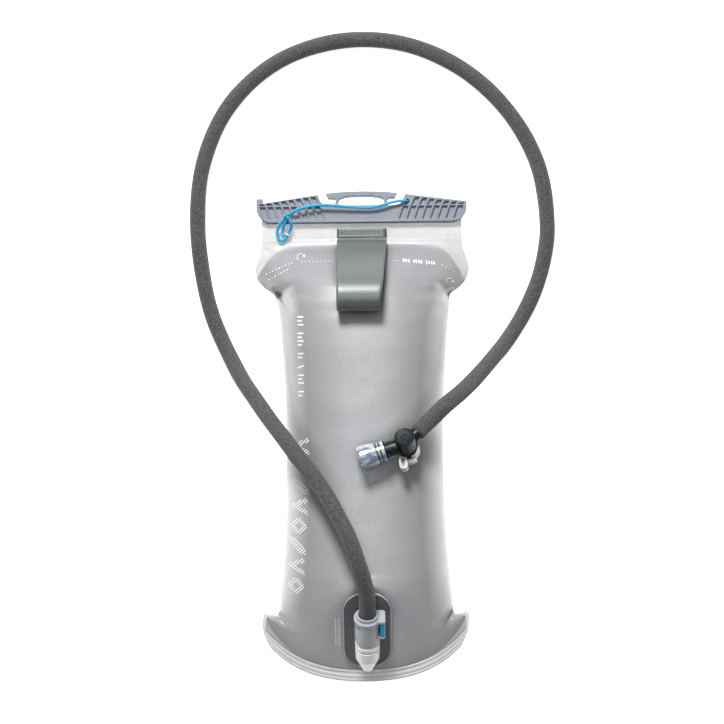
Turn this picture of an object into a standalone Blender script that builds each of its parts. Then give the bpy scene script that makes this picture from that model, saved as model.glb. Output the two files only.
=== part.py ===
"""Two-litre hydration bladder, filled and lying on its back, with insulated hose and bite valve.

Metres, +Z up and away from the surface it lies on, +Y toward the slide closure, +X to the right
as seen from above.  The origin is under the middle of the bladder, on the surface.
Lengths below are in millimetres and are scaled once, in the mesh helpers.
"""

import math

import bmesh
import bpy
from mathutils import Matrix, Vector

MM = 0.001

# ---------------------------------------------------------------- driving dimensions (mm)
SEAM_Z = 34.0            # height of the flat mouth and of the bottom hem
FILM = 0.8               # wall of the reservoir film
FLAT_HALF = 0.8          # half thickness of two welded layers
SLIT_HALF = 0.3          # half gap between the lips of the open mouth
MOUTH_Y = 176.0          # lip edge, inside the slider
HEM_Y = -188.6           # last station, the middle of the curved hem

PORT_X = 1.1             # port, read on the sloping lower front
PORT_Y = -150.0
PORT_Z = 54.3
PORT_TILT = 33.0         # degrees, slope of the front film at the port
PORT_AXIS_H = 12.0       # connector axis above the film
PLATE_HALF = 17.2        # half width of the oval plate
PLATE_TOP = 44.6         # along the slope from the port
PLATE_LOW = -29.2

HOSE_R = 6.1
SLEEVE_BORE = 4.8
TUBE_R = 4.5
TUBE_BORE = 3.2
HOSE_START_S = 31.0      # along the connector axis
HOSE_END_D = 11.5        # from the valve centre

SLIDER_HALF_T = 6.2
SLIDER_LEN_HALF = 80.6
POCKETS = 8
POCKET_PITCH = 5.98

STRAP_T = 1.4
STRAP_LEFT = -19.1
STRAP_RIGHT = 19.1
STRAP_RIGHT_FOLD = 12.8

VALVE = (30.8, -2.2, 88.8)
VALVE_R = 7.3

# Film sections: station, half width of the flat edges, half width of the filled part,
# rise above the seam plane, drop below it, and the edge power (0.44 round, 0.8 pinched).
SECTIONS = [
    (176.0, 77.0, 76.0, 1.1, 1.1, 0.44),
    (165.0, 77.0, 76.0, 1.1, 1.1, 0.44),
    (152.0, 77.0, 76.0, 1.2, 1.2, 0.5),
    (148.0, 77.0, 75.4, 1.9, 1.8, 0.7),
    (144.0, 77.8, 74.6, 5.0, 4.6, 0.75),
    (138.0, 80.4, 73.4, 12.0, 11.0, 0.72),
    (130.0, 82.8, 72.0, 20.0, 18.5, 0.66),
    (121.0, 80.6, 70.0, 27.5, 25.0, 0.6),
    (115.0, 75.0, 68.4, 31.5, 28.6, 0.55),
    (110.0, 68.0, 67.2, 34.2, 30.6, 0.52),
    (104.0, 66.2, 66.0, 36.6, 32.4, 0.5),
    (90.0, 64.8, 64.6, 39.8, 34.0, 0.47),
    (70.0, 63.2, 63.0, 41.6, 35.0, 0.45),
    (45.0, 61.4, 61.2, 42.0, 35.2, 0.44),
    (15.0, 60.3, 60.1, 42.0, 35.2, 0.44),
    (-20.0, 60.1, 59.9, 42.0, 35.2, 0.44),
    (-50.0, 60.6, 60.4, 42.0, 35.2, 0.44),
    (-80.0, 62.4, 62.2, 42.4, 35.0, 0.45),
    (-105.0, 64.4, 64.2, 42.4, 34.6, 0.47),
    (-120.0, 65.6, 65.4, 40.4, 33.6, 0.48),
    (-130.0, 66.2, 66.0, 37.2, 32.0, 0.5),
    (-139.0, 66.6, 66.4, 32.6, 29.0, 0.53),
    (-147.0, 67.0, 66.6, 27.6, 25.0, 0.56),
    (-153.0, 68.6, 66.4, 23.6, 21.2, 0.6),
    (-158.0, 73.6, 65.6, 19.8, 17.8, 0.64),
    (-163.0, 78.0, 63.8, 15.6, 14.2, 0.68),
    (-168.0, 79.2, 60.6, 11.0, 10.4, 0.72),
    (-173.0, 79.6, 54.0, 6.6, 6.4, 0.76),
    (-177.0, 79.6, 44.0, 3.4, 3.4, 0.8),
    (-180.0, 79.4, 30.0, 1.4, 1.4, 0.8),
    (-184.0, 78.6, 20.0, 0.9, 0.9, 0.8),
    (HEM_Y, 73.6, 20.0, 0.8, 0.8, 0.8),
]
SHAPE_POWER = 2.25
RING_STEPS = 18
HEM_K2 = 0.0028          # sweep of the hem: Y rises with x*x and x**4
HEM_K4 = 3.98e-7

# Route of the drinking hose, from the connector up over the bag, round the floor and back.
HOSE_ROUTE = [
    (-2.4, -97.0, 100.0),
    (-6.4, -84.2, 103.0),
    (-11.7, -69.1, 102.0),
    (-18.9, -55.1, 97.5),
    (-27.5, -40.1, 91.5),
    (-37.5, -25.9, 85.5),
    (-48.8, -12.0, 79.0),
    (-59.8, 1.8, 70.0),
    (-71.4, 15.7, 57.0),
    (-82.7, 30.3, 42.0),
    (-94.0, 45.5, 27.5),
    (-103.5, 61.9, 15.5),
    (-111.5, 77.8, 8.8),
    (-118.6, 95.3, 6.5),
    (-124.7, 119.9, 6.3),
    (-129.7, 167.4, 6.3),
    (-124.8, 215.6, 6.3),
    (-104.1, 260.9, 6.3),
    (-66.2, 295.2, 6.3),
    (-17.5, 311.5, 6.3),
    (33.4, 309.3, 6.3),
    (79.6, 289.4, 6.3),
    (115.9, 255.9, 6.3),
    (139.6, 212.9, 6.3),
    (146.7, 164.6, 6.3),
    (144.1, 140.3, 6.4),
    (137.5, 116.8, 6.7),
    (127.0, 94.7, 9.0),
    (113.0, 73.8, 17.0),
    (99.9, 59.4, 31.5),
    (85.2, 44.7, 49.5),
    (72.0, 33.6, 66.5),
]
HOSE_POINTS = 64
HOSE_SIDES = 8

TETHER_ROUTE = [
    (-54.3, 171.8, 43.4),
    (-49.3, 174.5, 44.0),
    (-43.1, 176.3, 44.5),
    (-34.3, 177.7, 44.5),
    (-26.3, 177.8, 44.5),
    (-17.9, 177.2, 44.0),
    (-8.8, 176.4, 43.5),
    (0.4, 175.8, 43.0),
    (7.3, 175.8, 43.0),
    (13.4, 176.8, 43.2),
    (18.7, 178.3, 43.4),
    (24.1, 179.8, 43.2),
    (29.5, 180.7, 42.9),
    (33.2, 180.8, 42.6),
    (34.6, 180.7, 41.3),
    (35.0, 180.7, 38.6),
    (35.0, 180.7, 34.0),
    (35.0, 180.7, 28.2),
]
TETHER_R = 1.1

STRAP_ROUTE = [
    (150.9, 37.2),
    (147.6, 39.8),
    (144.0, 43.6),
    (138.0, 50.4),
    (130.0, 58.4),
    (121.0, 65.6),
    (112.0, 71.2),
    (104.0, 75.2),
    (99.6, 77.8),
    (96.8, 81.2),
    (96.4, 84.8),
    (98.6, 88.0),
    (102.6, 89.6),
    (108.0, 88.9),
    (116.0, 84.6),
    (125.0, 77.0),
    (133.0, 68.0),
    (140.0, 58.0),
    (145.4, 48.6),
    (148.8, 42.2),
    (150.9, 39.6),
]

# ---------------------------------------------------------------- start from an empty file
for old in list(bpy.data.objects):
    bpy.data.objects.remove(old, do_unlink=True)


# ---------------------------------------------------------------- materials
def material(name, color, rough, metal=0.0, alpha=1.0, transmission=0.0):
    mat = bpy.data.materials.new(name)
    mat.use_nodes = True
    mat.diffuse_color = (color[0], color[1], color[2], alpha)
    bsdf = mat.node_tree.nodes["Principled BSDF"]
    bsdf.inputs["Base Color"].default_value = (color[0], color[1], color[2], 1.0)
    bsdf.inputs["Roughness"].default_value = rough
    bsdf.inputs["Metallic"].default_value = metal
    bsdf.inputs["Alpha"].default_value = alpha
    bsdf.inputs["Transmission Weight"].default_value = transmission
    return mat


M_FILM = material("film_grey", (0.50, 0.50, 0.53), 0.38)
M_RAIL = material("rail_clear", (0.86, 0.88, 0.88), 0.3, alpha=0.8)
M_SLIDER = material("slider_grey", (0.30, 0.32, 0.35), 0.45)
M_STRAP = material("webbing_green_grey", (0.17, 0.20, 0.19), 0.8)
M_CLEAR = material("clear_plastic", (0.85, 0.88, 0.88), 0.15, alpha=0.6)
M_BLUE_CORD = material("cord_blue", (0.01, 0.30, 0.70), 0.6)
M_PLATE = material("port_plate_grey", (0.06, 0.065, 0.075), 0.5)
M_FROST = material("frosted_plastic", (0.74, 0.75, 0.72), 0.3, alpha=0.85)
M_POPPET = material("poppet_white", (0.7, 0.7, 0.7), 0.35)
M_STEEL = material("spring_steel", (0.6, 0.6, 0.6), 0.25, metal=1.0)
M_RUBBER = material("seal_rubber", (0.02, 0.02, 0.02), 0.6)
M_COUPLER = material("coupler_grey", (0.24, 0.25, 0.26), 0.4)
M_BLUE = material("button_blue", (0.01, 0.33, 0.68), 0.35)
M_TUBE = material("drink_tube", (0.45, 0.5, 0.52), 0.25)
M_SLEEVE = material("sleeve_neoprene", (0.065, 0.067, 0.07), 0.9)
M_BLACK = material("valve_black", (0.018, 0.024, 0.025), 0.3)
M_LEVER = material("lever_white", (0.72, 0.74, 0.71), 0.3)
M_SILICONE = material("bite_silicone", (0.62, 0.68, 0.75), 0.12, alpha=0.55)


# ---------------------------------------------------------------- frames and mesh helpers
def axes_matrix(origin, xdir, ydir):
    """Right-handed frame with its origin in millimetres."""
    x = Vector(xdir).normalized()
    z = x.cross(Vector(ydir)).normalized()
    y = z.cross(x)
    rot = Matrix((x, y, z)).transposed().to_4x4()
    return Matrix.Translation(Vector(origin) * MM) @ rot


WORLD = Matrix.Identity(4)
TILT = math.radians(PORT_TILT)
UP_SLOPE = Vector((0.0, math.cos(TILT), math.sin(TILT)))
PORT = axes_matrix((PORT_X, PORT_Y, PORT_Z), (1, 0, 0), UP_SLOPE)
OUT = Vector((0.0, -math.sin(TILT), math.cos(TILT)))
AXIS_ORIGIN = Vector((PORT_X, PORT_Y, PORT_Z)) + OUT * PORT_AXIS_H
# Connector frame: local z runs up the connector, local y points back into the bag.
CONN = axes_matrix(AXIS_ORIGIN, (1, 0, 0), -OUT)

SPOOL_AXIS = Vector((-0.154, 0.524, 0.838)).normalized()
mouth_raw = Vector((-0.945, -0.327, -0.0265))
MOUTH_DIR = (mouth_raw - SPOOL_AXIS * mouth_raw.dot(SPOOL_AXIS)).normalized()
inlet_raw = Vector((0.7062, 0.6514, -0.2776))
INLET_DIR = (inlet_raw - SPOOL_AXIS * inlet_raw.dot(SPOOL_AXIS)).normalized()
# Valve frame: local z along the spool, local x along the mouthpiece.
VALVE_FRAME = axes_matrix(VALVE, MOUTH_DIR, SPOOL_AXIS.cross(MOUTH_DIR))
INLET_TURN = math.degrees(
    math.atan2(
        INLET_DIR.dot(SPOOL_AXIS.cross(MOUTH_DIR)),
        INLET_DIR.dot(MOUTH_DIR),
    )
)


def place(obj, matrix):
    obj.location = matrix.to_translation()
    obj.rotation_mode = "QUATERNION"
    obj.rotation_quaternion = matrix.to_quaternion()


def add_mesh(name, verts, faces, mat, matrix=WORLD, recalc=True):
    mesh = bpy.data.meshes.new(name)
    mesh.from_pydata([tuple(Vector(v) * MM) for v in verts], [], faces)
    if recalc:
        bm = bmesh.new()
        bm.from_mesh(mesh)
        bmesh.ops.recalc_face_normals(bm, faces=bm.faces)
        bm.to_mesh(mesh)
        bm.free()
    obj = bpy.data.objects.new(name, mesh)
    bpy.context.scene.collection.objects.link(obj)
    if mat is not None:
        mesh.materials.append(mat)
    place(obj, matrix)
    return obj


def revolve(name, profile, sides, mat, matrix=WORLD, phase=0.0, cut=None):
    """Turn a closed (r, z) outline about local z; outline points with r = 0 become poles."""
    verts = []
    rings = []
    for r, z in profile:
        if r < 1e-6:
            rings.append([len(verts)])
            verts.append((0.0, 0.0, z))
            continue
        ids = []
        for k in range(sides):
            ang = phase + 2.0 * math.pi * k / sides
            dz = cut(r * math.cos(ang), r * math.sin(ang), z) if cut else 0.0
            ids.append(len(verts))
            verts.append((r * math.cos(ang), r * math.sin(ang), z + dz))
        rings.append(ids)
    faces = []
    count = len(rings)
    for i in range(count):
        a = rings[i]
        b = rings[(i + 1) % count]
        if len(a) == 1 and len(b) == 1:
            continue
        for k in range(sides):
            k2 = (k + 1) % sides
            if len(a) == 1:
                faces.append((a[0], b[k], b[k2]))
            elif len(b) == 1:
                faces.append((a[k], b[0], a[k2]))
            else:
                faces.append((a[k], b[k], b[k2], a[k2]))
    return add_mesh(name, verts, faces, mat, matrix)


def prism(name, outline, z0, z1, mat, matrix=WORLD):
    count = len(outline)
    verts = [(p[0], p[1], z0) for p in outline] + [(p[0], p[1], z1) for p in outline]
    faces = [tuple(range(count - 1, -1, -1)), tuple(range(count, 2 * count))]
    for i in range(count):
        j = (i + 1) % count
        faces.append((i, j, count + j, count + i))
    return add_mesh(name, verts, faces, mat, matrix)


def box(name, x0, x1, y0, y1, z0, z1, mat, matrix=WORLD):
    return prism(name, [(x0, y0), (x1, y0), (x1, y1), (x0, y1)], z0, z1, mat, matrix)


def boxes(name, specs, matrix=WORLD):
    """Several separate prisms in one cutter: each spec is (outline, z0, z1)."""
    verts = []
    faces = []
    for outline, z0, z1 in specs:
        base = len(verts)
        count = len(outline)
        verts += [(p[0], p[1], z0) for p in outline]
        verts += [(p[0], p[1], z1) for p in outline]
        faces.append(tuple(base + k for k in range(count - 1, -1, -1)))
        faces.append(tuple(base + count + k for k in range(count)))
        for i in range(count):
            j = (i + 1) % count
            faces.append((base + i, base + j, base + count + j, base + count + i))
    return add_mesh(name, verts, faces, None, matrix)


def combine(obj, tool, operation):
    mod = obj.modifiers.new(operation.lower() + "_" + tool.name, "BOOLEAN")
    mod.operation = operation
    mod.solver = "EXACT"
    mod.object = tool
    tool.hide_render = True
    tool.display_type = "WIRE"


def cylinder(name, r, z0, z1, sides, mat, matrix=WORLD, phase=0.0):
    return revolve(name, [(0, z0), (r, z0), (r, z1), (0, z1)], sides, mat, matrix, phase)


def cylinder_along(name, r, d0, d1, sides, mat, frame, direction):
    """Cylinder in a frame, along a direction of that frame's local space."""
    d = Vector(direction).normalized()
    ref = Vector((0, 0, 1)) if abs(d.z) < 0.9 else Vector((1, 0, 0))
    x = ref.cross(d).normalized()
    local = Matrix((x, d.cross(x), d)).transposed().to_4x4()
    return cylinder(name, r, d0, d1, sides, mat, frame @ local)


def smooth_path(route, count):
    """Centripetal spline through the route, read at even spacing."""
    pts = [Vector(p) for p in route]
    pts = [pts[0] * 2 - pts[1]] + pts + [pts[-1] * 2 - pts[-2]]
    fine = []
    for i in range(1, len(pts) - 2):
        p0, p1, p2, p3 = pts[i - 1], pts[i], pts[i + 1], pts[i + 2]
        t0 = 0.0
        t1 = t0 + math.sqrt((p1 - p0).length)
        t2 = t1 + math.sqrt((p2 - p1).length)
        t3 = t2 + math.sqrt((p3 - p2).length)
        for k in range(24):
            t = t1 + (t2 - t1) * k / 24
            a1 = p0 * ((t1 - t) / (t1 - t0)) + p1 * ((t - t0) / (t1 - t0))
            a2 = p1 * ((t2 - t) / (t2 - t1)) + p2 * ((t - t1) / (t2 - t1))
            a3 = p2 * ((t3 - t) / (t3 - t2)) + p3 * ((t - t2) / (t3 - t2))
            b1 = a1 * ((t2 - t) / (t2 - t0)) + a2 * ((t - t0) / (t2 - t0))
            b2 = a2 * ((t3 - t) / (t3 - t1)) + a3 * ((t - t1) / (t3 - t1))
            fine.append(b1 * ((t2 - t) / (t2 - t1)) + b2 * ((t - t1) / (t2 - t1)))
    fine.append(pts[-2].copy())
    run = [0.0]
    for a, b in zip(fine, fine[1:]):
        run.append(run[-1] + (b - a).length)
    out = []
    j = 0
    for k in range(count):
        want = run[-1] * k / (count - 1)
        while j < len(run) - 2 and run[j + 1] < want:
            j += 1
        span = max(run[j + 1] - run[j], 1e-9)
        out.append(fine[j].lerp(fine[j + 1], min(1.0, (want - run[j]) / span)))
    return out


def path_frames(path, first_side):
    """Sideways and upright directions carried along the path without twisting."""
    frames = []
    side = Vector(first_side)
    for i, p in enumerate(path):
        ahead = path[min(i + 1, len(path) - 1)]
        behind = path[max(i - 1, 0)]
        tangent = (ahead - behind).normalized()
        side = (side - tangent * side.dot(tangent)).normalized()
        frames.append((p, side, tangent.cross(side), tangent))
    return frames


def hollow_tube(name, path, r_out, r_in, sides, mat):
    verts = []
    frames = path_frames(path, (1, 0, 0))
    for p, side, up, tangent in frames:
        for r in (r_out, r_in):
            for k in range(sides):
                ang = 2.0 * math.pi * k / sides
                verts.append(p + side * (r * math.cos(ang)) + up * (r * math.sin(ang)))
    faces = []
    step = 2 * sides
    for i in range(len(path) - 1):
        for k in range(sides):
            k2 = (k + 1) % sides
            a = i * step
            b = a + step
            faces.append((a + k, a + k2, b + k2, b + k))
            faces.append((a + sides + k2, a + sides + k, b + sides + k, b + sides + k2))
    last = (len(path) - 1) * step
    for k in range(sides):
        k2 = (k + 1) % sides
        faces.append((k, sides + k, sides + k2, k2))
        faces.append((last + k, last + k2, last + sides + k2, last + sides + k))
    return add_mesh(name, verts, faces, mat)


def cord_curve(name, path, radius, mat, resolution=2):
    curve = bpy.data.curves.new(name, "CURVE")
    curve.dimensions = "3D"
    spline = curve.splines.new("POLY")
    spline.points.add(len(path) - 1)
    for point, p in zip(spline.points, path):
        point.co = (p[0] * MM, p[1] * MM, p[2] * MM, 1.0)
    curve.bevel_depth = radius * MM
    curve.bevel_resolution = resolution
    curve.use_fill_caps = True
    curve.materials.append(mat)
    obj = bpy.data.objects.new(name, curve)
    bpy.context.scene.collection.objects.link(obj)
    return obj


def ball(name, centre, radii, mat, sub=2, matrix=WORLD):
    bm = bmesh.new()
    bmesh.ops.create_icosphere(bm, subdivisions=sub, radius=1.0)
    verts = [tuple(v.co) for v in bm.verts]
    faces = [tuple(v.index for v in f.verts) for f in bm.faces]
    bm.free()
    moved = [tuple(centre[i] + v[i] * radii[i] for i in range(3)) for v in verts]
    return add_mesh(name, moved, faces, mat, matrix)


def ring_torus(name, major, minor, n_major, n_minor, mat, matrix=WORLD, z=0.0):
    profile = []
    for k in range(n_minor):
        ang = 2.0 * math.pi * k / n_minor
        profile.append((major + minor * math.cos(ang), z + minor * math.sin(ang)))
    return revolve(name, profile, n_major, mat, matrix)


# ---------------------------------------------------------------- reservoir film
def smoothstep(t):
    t = min(1.0, max(0.0, t))
    return t * t * (3.0 - 2.0 * t)


def hem_sweep(station, x):
    """How far a point of a station is carried toward the mouth by the curved hem."""
    grow = smoothstep((-100.0 - station) / 80.0)
    return grow * (HEM_K2 * x * x + HEM_K4 * x**4)


def plate_weight(x, y):
    """One over the port plate, fading out beyond its edge."""
    s = (y - PORT_Y) / math.cos(TILT)
    dy = max(0.0, abs(s - 3.0) - 22.0)
    dist = math.hypot(dy, x - PORT_X) - 19.0
    return 1.0 - smoothstep((dist - 3.0) / 13.0)


def plate_plane(y):
    return PORT_Z + (y - PORT_Y) * math.tan(TILT)


def film_ring(section, inset):
    station, flat, full, rise, drop, power = section
    edge = SLIT_HALF if inset else FLAT_HALF
    half = (full - inset) if inset else flat
    full = full - inset
    rise = max(rise - inset, SLIT_HALF)
    drop = max(drop - inset, SLIT_HALF)
    top = []
    bottom = []
    for j in range(RING_STEPS + 1):
        x = half * math.cos(math.pi * j / RING_STEPS)
        share = max(0.0, 1.0 - min(1.0, abs(x) / full) ** SHAPE_POWER) ** power
        y = station + hem_sweep(station, x)
        z_top = SEAM_Z + max(edge, rise * share)
        z_low = SEAM_Z - max(edge, drop * share)
        if station < -90.0:
            w = plate_weight(x, y)
            flat_z = plate_plane(y) - inset
            z_top = max(z_top + (flat_z - z_top) * w, SEAM_Z + edge)
        z_low = max(z_low, inset)
        top.append((x, y, z_top))
        bottom.append((x, y, z_low))
    return top + bottom[::-1]


def build_film():
    outer = [film_ring(s, 0.0) for s in SECTIONS]
    inner_sections = [s for s in SECTIONS if s[0] > -178.0]
    inner = [film_ring(s, FILM) for s in inner_sections]
    verts = []
    for ring in outer + inner:
        verts += ring
    n = len(outer[0])
    faces = []
    for i in range(len(outer) - 1):
        for k in range(n):
            k2 = (k + 1) % n
            faces.append((i * n + k, i * n + k2, (i + 1) * n + k2, (i + 1) * n + k))
    start = len(outer) * n
    for i in range(len(inner) - 1):
        a = start + i * n
        for k in range(n):
            k2 = (k + 1) % n
            faces.append((a + k2, a + k, a + n + k, a + n + k2))
    for k in range(n):
        k2 = (k + 1) % n
        faces.append((k, start + k, start + k2, k2))
    last = (len(outer) - 1) * n
    last_in = start + (len(inner) - 1) * n
    for k in range(n // 2 - 1):
        faces.append((last + k, last + k + 1, last + n - 2 - k, last + n - 1 - k))
        faces.append(
            (last_in + k + 1, last_in + k, last_in + n - 1 - k, last_in + n - 2 - k)
        )
    film = add_mesh("reservoir_film", verts, faces, M_FILM)
    hole = cylinder("cut_port_hole", 6.0, -9.0, 6.0, 20, None, PORT @ Matrix.Translation(
        Vector((0, -6.0, 0)) * MM
    ))
    tri = film.modifiers.new("triangles", "TRIANGULATE")
    tri.quad_method = "FIXED"
    combine(film, hole, "DIFFERENCE")
    return film


build_film()

# ---------------------------------------------------------------- mouth rails
rail_front = box("mouth_rail_front", -74, 74, 169.4, 175.2, SEAM_Z + 1.15, SEAM_Z + 2.6, M_RAIL)
rail_back = box("mouth_rail_back", -74, 74, 169.4, 175.2, SEAM_Z - 2.6, SEAM_Z - 1.15, M_RAIL)


# ---------------------------------------------------------------- slide closure
def arc(cx, cy, r, a0, a1, steps):
    out = []
    for k in range(steps + 1):
        ang = math.radians(a0 + (a1 - a0) * k / steps)
        out.append((cx + r * math.cos(ang), cy + r * math.sin(ang)))
    return out


def build_slider():
    low = 165.0
    outline = []
    end = SLIDER_LEN_HALF
    outline += arc(11.0 - end, low + 11.0, 11.0, 180, 270, 6)
    outline += arc(end - 11.0, low + 11.0, 11.0, 270, 360, 6)
    outline += [(end, 180.4), (33.4, 186.3), (31.4, 181.0)]
    # shallow saddle between the wings, broken by the two handle posts
    outline += [(29.2, 178.9), (26.0, 178.2), (20.6, 177.9)]
    outline += [(19.4, 182.6), (21.8, 183.6), (25.6, 183.6), (27.4, 187.2)]
    outline += [(20.0, 188.1), (10.0, 188.6), (0.0, 188.8)]
    outline += [(-10.0, 188.6), (-20.0, 188.1), (-27.4, 187.2), (-25.6, 183.6)]
    outline += [(-21.8, 183.6), (-19.4, 182.6), (-20.6, 177.9)]
    outline += [(-26.0, 178.2), (-29.2, 178.9), (-31.4, 181.0), (-33.4, 186.3)]
    outline += [(-75.8, 179.9), (-76.0, 183.4), (-end, 183.4)]
    bar = prism(
        "slider_bar", outline, SEAM_Z - SLIDER_HALF_T, SEAM_Z + SLIDER_HALF_T, M_SLIDER
    )
    # T-shaped channel that grips the rails, open at the right end
    channel = [
        (low - 4.0, SEAM_Z - 1.7),
        (low + 3.4, SEAM_Z - 1.7),
        (low + 3.4, SEAM_Z - 3.0),
        (low + 11.4, SEAM_Z - 3.0),
        (low + 11.4, SEAM_Z + 3.0),
        (low + 3.4, SEAM_Z + 3.0),
        (low + 3.4, SEAM_Z + 1.7),
        (low - 4.0, SEAM_Z + 1.7),
    ]
    verts = []
    for x in (-77.8, 90.0):
        verts += [(x, p[0], p[1]) for p in channel]
    count = len(channel)
    faces = [tuple(range(count)), tuple(range(2 * count - 1, count - 1, -1))]
    for i in range(count):
        j = (i + 1) % count
        faces.append((i, count + i, count + j, j))
    cut_channel = add_mesh("cut_channel", verts, faces, None)
    top = SEAM_Z + SLIDER_HALF_T
    specs = []
    for side in (-1, 1):
        for k in range(POCKETS):
            near = 28.7 + k * POCKET_PITCH
            lower = [(near, 167.4), (near + 4.3, 167.4), (near + 7.5, 177.0), (near + 3.2, 177.0)]
            upper_y = 185.5 - 0.128 * (near - 33.0)
            reach = (upper_y - 177.9) * 0.36
            upper = [
                (near + 3.6, 178.0),
                (near + 7.3, 178.0),
                (near + 7.3 + reach, upper_y - 1.6),
                (near + 3.6 + reach, upper_y - 1.6),
            ]
            if side < 0:
                lower = [(-x, y) for x, y in lower][::-1]
                upper = [(-x, y) for x, y in upper][::-1]
            specs.append((lower, top - 2.0, top + 2.0))
            if k > 0 or side < 0:
                specs.append((upper, top - 2.2, top + 2.0))
    cut_pockets = boxes("cut_pockets", specs)
    window = [
        (-17.0, 178.3), (0.0, 178.1), (17.0, 178.3), (17.9, 180.2), (17.0, 183.0),
        (14.0, 184.4), (8.0, 185.2), (-8.0, 185.2), (-14.0, 184.4),
        (-17.0, 183.0), (-17.9, 180.2),
    ]
    cut_window = prism("cut_handle_window", window, SEAM_Z - 12, SEAM_Z + 12, None)
    # front of the middle panel stands back from the wings
    panel = [
        (-27.4, 166.6), (27.4, 166.6), (31.0, 177.8), (31.6, 178.6),
        (28.0, 190.0), (-28.0, 190.0), (-31.6, 178.6), (-31.0, 177.8),
    ]
    cut_panel = prism("cut_panel", panel, top - 1.0, top + 4.0, None)
    cut_cord_hole = cylinder(
        "cut_cord_hole", 1.75, -20, 20, 12, None,
        Matrix.Translation(Vector((35.0, 180.7, SEAM_Z)) * MM),
    )
    combine(bar, cut_channel, "DIFFERENCE")
    combine(bar, cut_window, "DIFFERENCE")
    combine(bar, cut_panel, "DIFFERENCE")
    combine(bar, cut_pockets, "DIFFERENCE")
    combine(bar, cut_cord_hole, "DIFFERENCE")
    return bar


build_slider()


# ---------------------------------------------------------------- hang loop
def ribbon(name, route, count, mat, right_at):
    """Strap of constant thickness following a (y, z) route, wide along x."""
    line = smooth_path([(0.0, y, z) for y, z in route], count)
    verts = []
    for i, p in enumerate(line):
        ahead = line[min(i + 1, count - 1)]
        behind = line[max(i - 1, 0)]
        t = (ahead - behind).normalized()
        n = Vector((0.0, -t.z, t.y)) * (STRAP_T / 2)
        right = right_at(p.y)
        for x, q in ((STRAP_LEFT, n), (right, n), (right, -n), (STRAP_LEFT, -n)):
            verts.append((x, p.y + q.y, p.z + q.z))
    faces = [(0, 1, 2, 3), tuple(4 * (count - 1) + k for k in (3, 2, 1, 0))]
    for i in range(count - 1):
        a = 4 * i
        for k in range(4):
            k2 = (k + 1) % 4
            faces.append((a + k, a + 4 + k, a + 4 + k2, a + k2))
    return add_mesh(name, verts, faces, mat)


def strap_right(y):
    t = min(1.0, max(0.0, (150.0 - y) / 53.0))
    return STRAP_RIGHT + (STRAP_RIGHT_FOLD - STRAP_RIGHT) * t


ribbon("hang_loop", STRAP_ROUTE, 38, M_STRAP, strap_right)
# the stitched tail: both layers of the strap on the clear band
box(
    "hang_loop_tail", STRAP_LEFT, STRAP_RIGHT, 153.4, 160.2,
    SEAM_Z + 1.5, SEAM_Z + 4.4, M_STRAP,
)

# ---------------------------------------------------------------- tether
LUG_C = (-57.0, 155.8, SEAM_Z + 4.4)
lug_frame = axes_matrix(LUG_C, (0.9, -0.42, 0.0), (0, 0, 1))
ring_torus("tether_lug", 2.3, 0.75, 16, 8, M_CLEAR, lug_frame)
ball("tether_knot", (-57.0, 169.6, 43.6), (2.9, 2.5, 2.2), M_BLUE_CORD)
LOOP_ROUTE = [
    (-55.0, 167.2, 43.6),
    (-54.0, 164.6, 42.9),
    (-54.1, 162.0, 41.2),
    (-55.4, 158.8, 39.2),
    (-57.0, 155.8, 38.4),
    (-58.8, 153.0, 38.3),
    (-61.2, 151.4, 38.4),
    (-63.4, 152.3, 38.6),
    (-64.8, 155.6, 39.2),
    (-64.6, 159.4, 40.4),
    (-63.0, 163.2, 42.2),
    (-60.9, 165.9, 43.2),
    (-59.6, 167.2, 43.8),
]
cord_curve("tether_loop", smooth_path(LOOP_ROUTE, 26), TETHER_R, M_BLUE_CORD)
TAIL_ROUTE = [
    (-57.8, 166.8, 42.2),
    (-59.3, 164.0, 41.8),
    (-60.4, 160.4, 39.9),
    (-60.8, 157.0, 38.9),
    (-60.6, 154.4, 39.3),
]
TETHER_TAIL = smooth_path(TAIL_ROUTE, 9)
cord_curve("tether_tail", TETHER_TAIL, TETHER_R, M_BLUE_CORD)
cord_curve("tether_cord", smooth_path(TETHER_ROUTE, 34), TETHER_R, M_BLUE_CORD)
ball("tether_stopper", (35.0, 180.7, 25.9), (2.6, 2.6, 2.2), M_BLUE_CORD)


# ---------------------------------------------------------------- port on the lower front
def oval(grow, steps):
    """Plate outline along the slope: full round above, flatter round below."""
    half_w = PLATE_HALF + grow
    top = arc(0.0, PLATE_TOP - PLATE_HALF, half_w, 0, 180, steps)
    low = []
    for k in range(steps + 1):
        ang = math.pi * (1.0 + k / steps)
        across = half_w * math.copysign(abs(math.cos(ang)) ** 0.8, math.cos(ang))
        low.append((across, PLATE_LOW + PLATE_HALF + (PLATE_HALF + grow) * math.sin(ang)))
    return top + low


plate = prism("port_plate", oval(0.0, 14), 0.35, 1.75, M_PLATE, PORT)
combine(
    plate,
    cylinder("cut_plate_hole", 5.2, -5, 5, 20, None,
             PORT @ Matrix.Translation(Vector((0, -6.0, 0)) * MM)),
    "DIFFERENCE",
)


def oval_ring(name, grow_out, grow_in, z0, z1, mat, matrix):
    outer = oval(grow_out, 14)
    inner = oval(grow_in, 14)
    n = len(outer)
    verts = []
    for z in (z0, z1):
        verts += [(p[0], p[1], z) for p in outer]
        verts += [(p[0], p[1], z) for p in inner]
    faces = []
    for i in range(n):
        j = (i + 1) % n
        faces.append((i, j, 2 * n + j, 2 * n + i))
        faces.append((n + j, n + i, 3 * n + i, 3 * n + j))
        faces.append((2 * n + i, 2 * n + j, 3 * n + j, 3 * n + i))
        faces.append((j, i, n + i, n + j))
    return add_mesh(name, verts, faces, mat, matrix)


oval_ring("port_weld_rim", 1.1, 0.2, 0.35, 1.35, M_RAIL, PORT)

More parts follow.
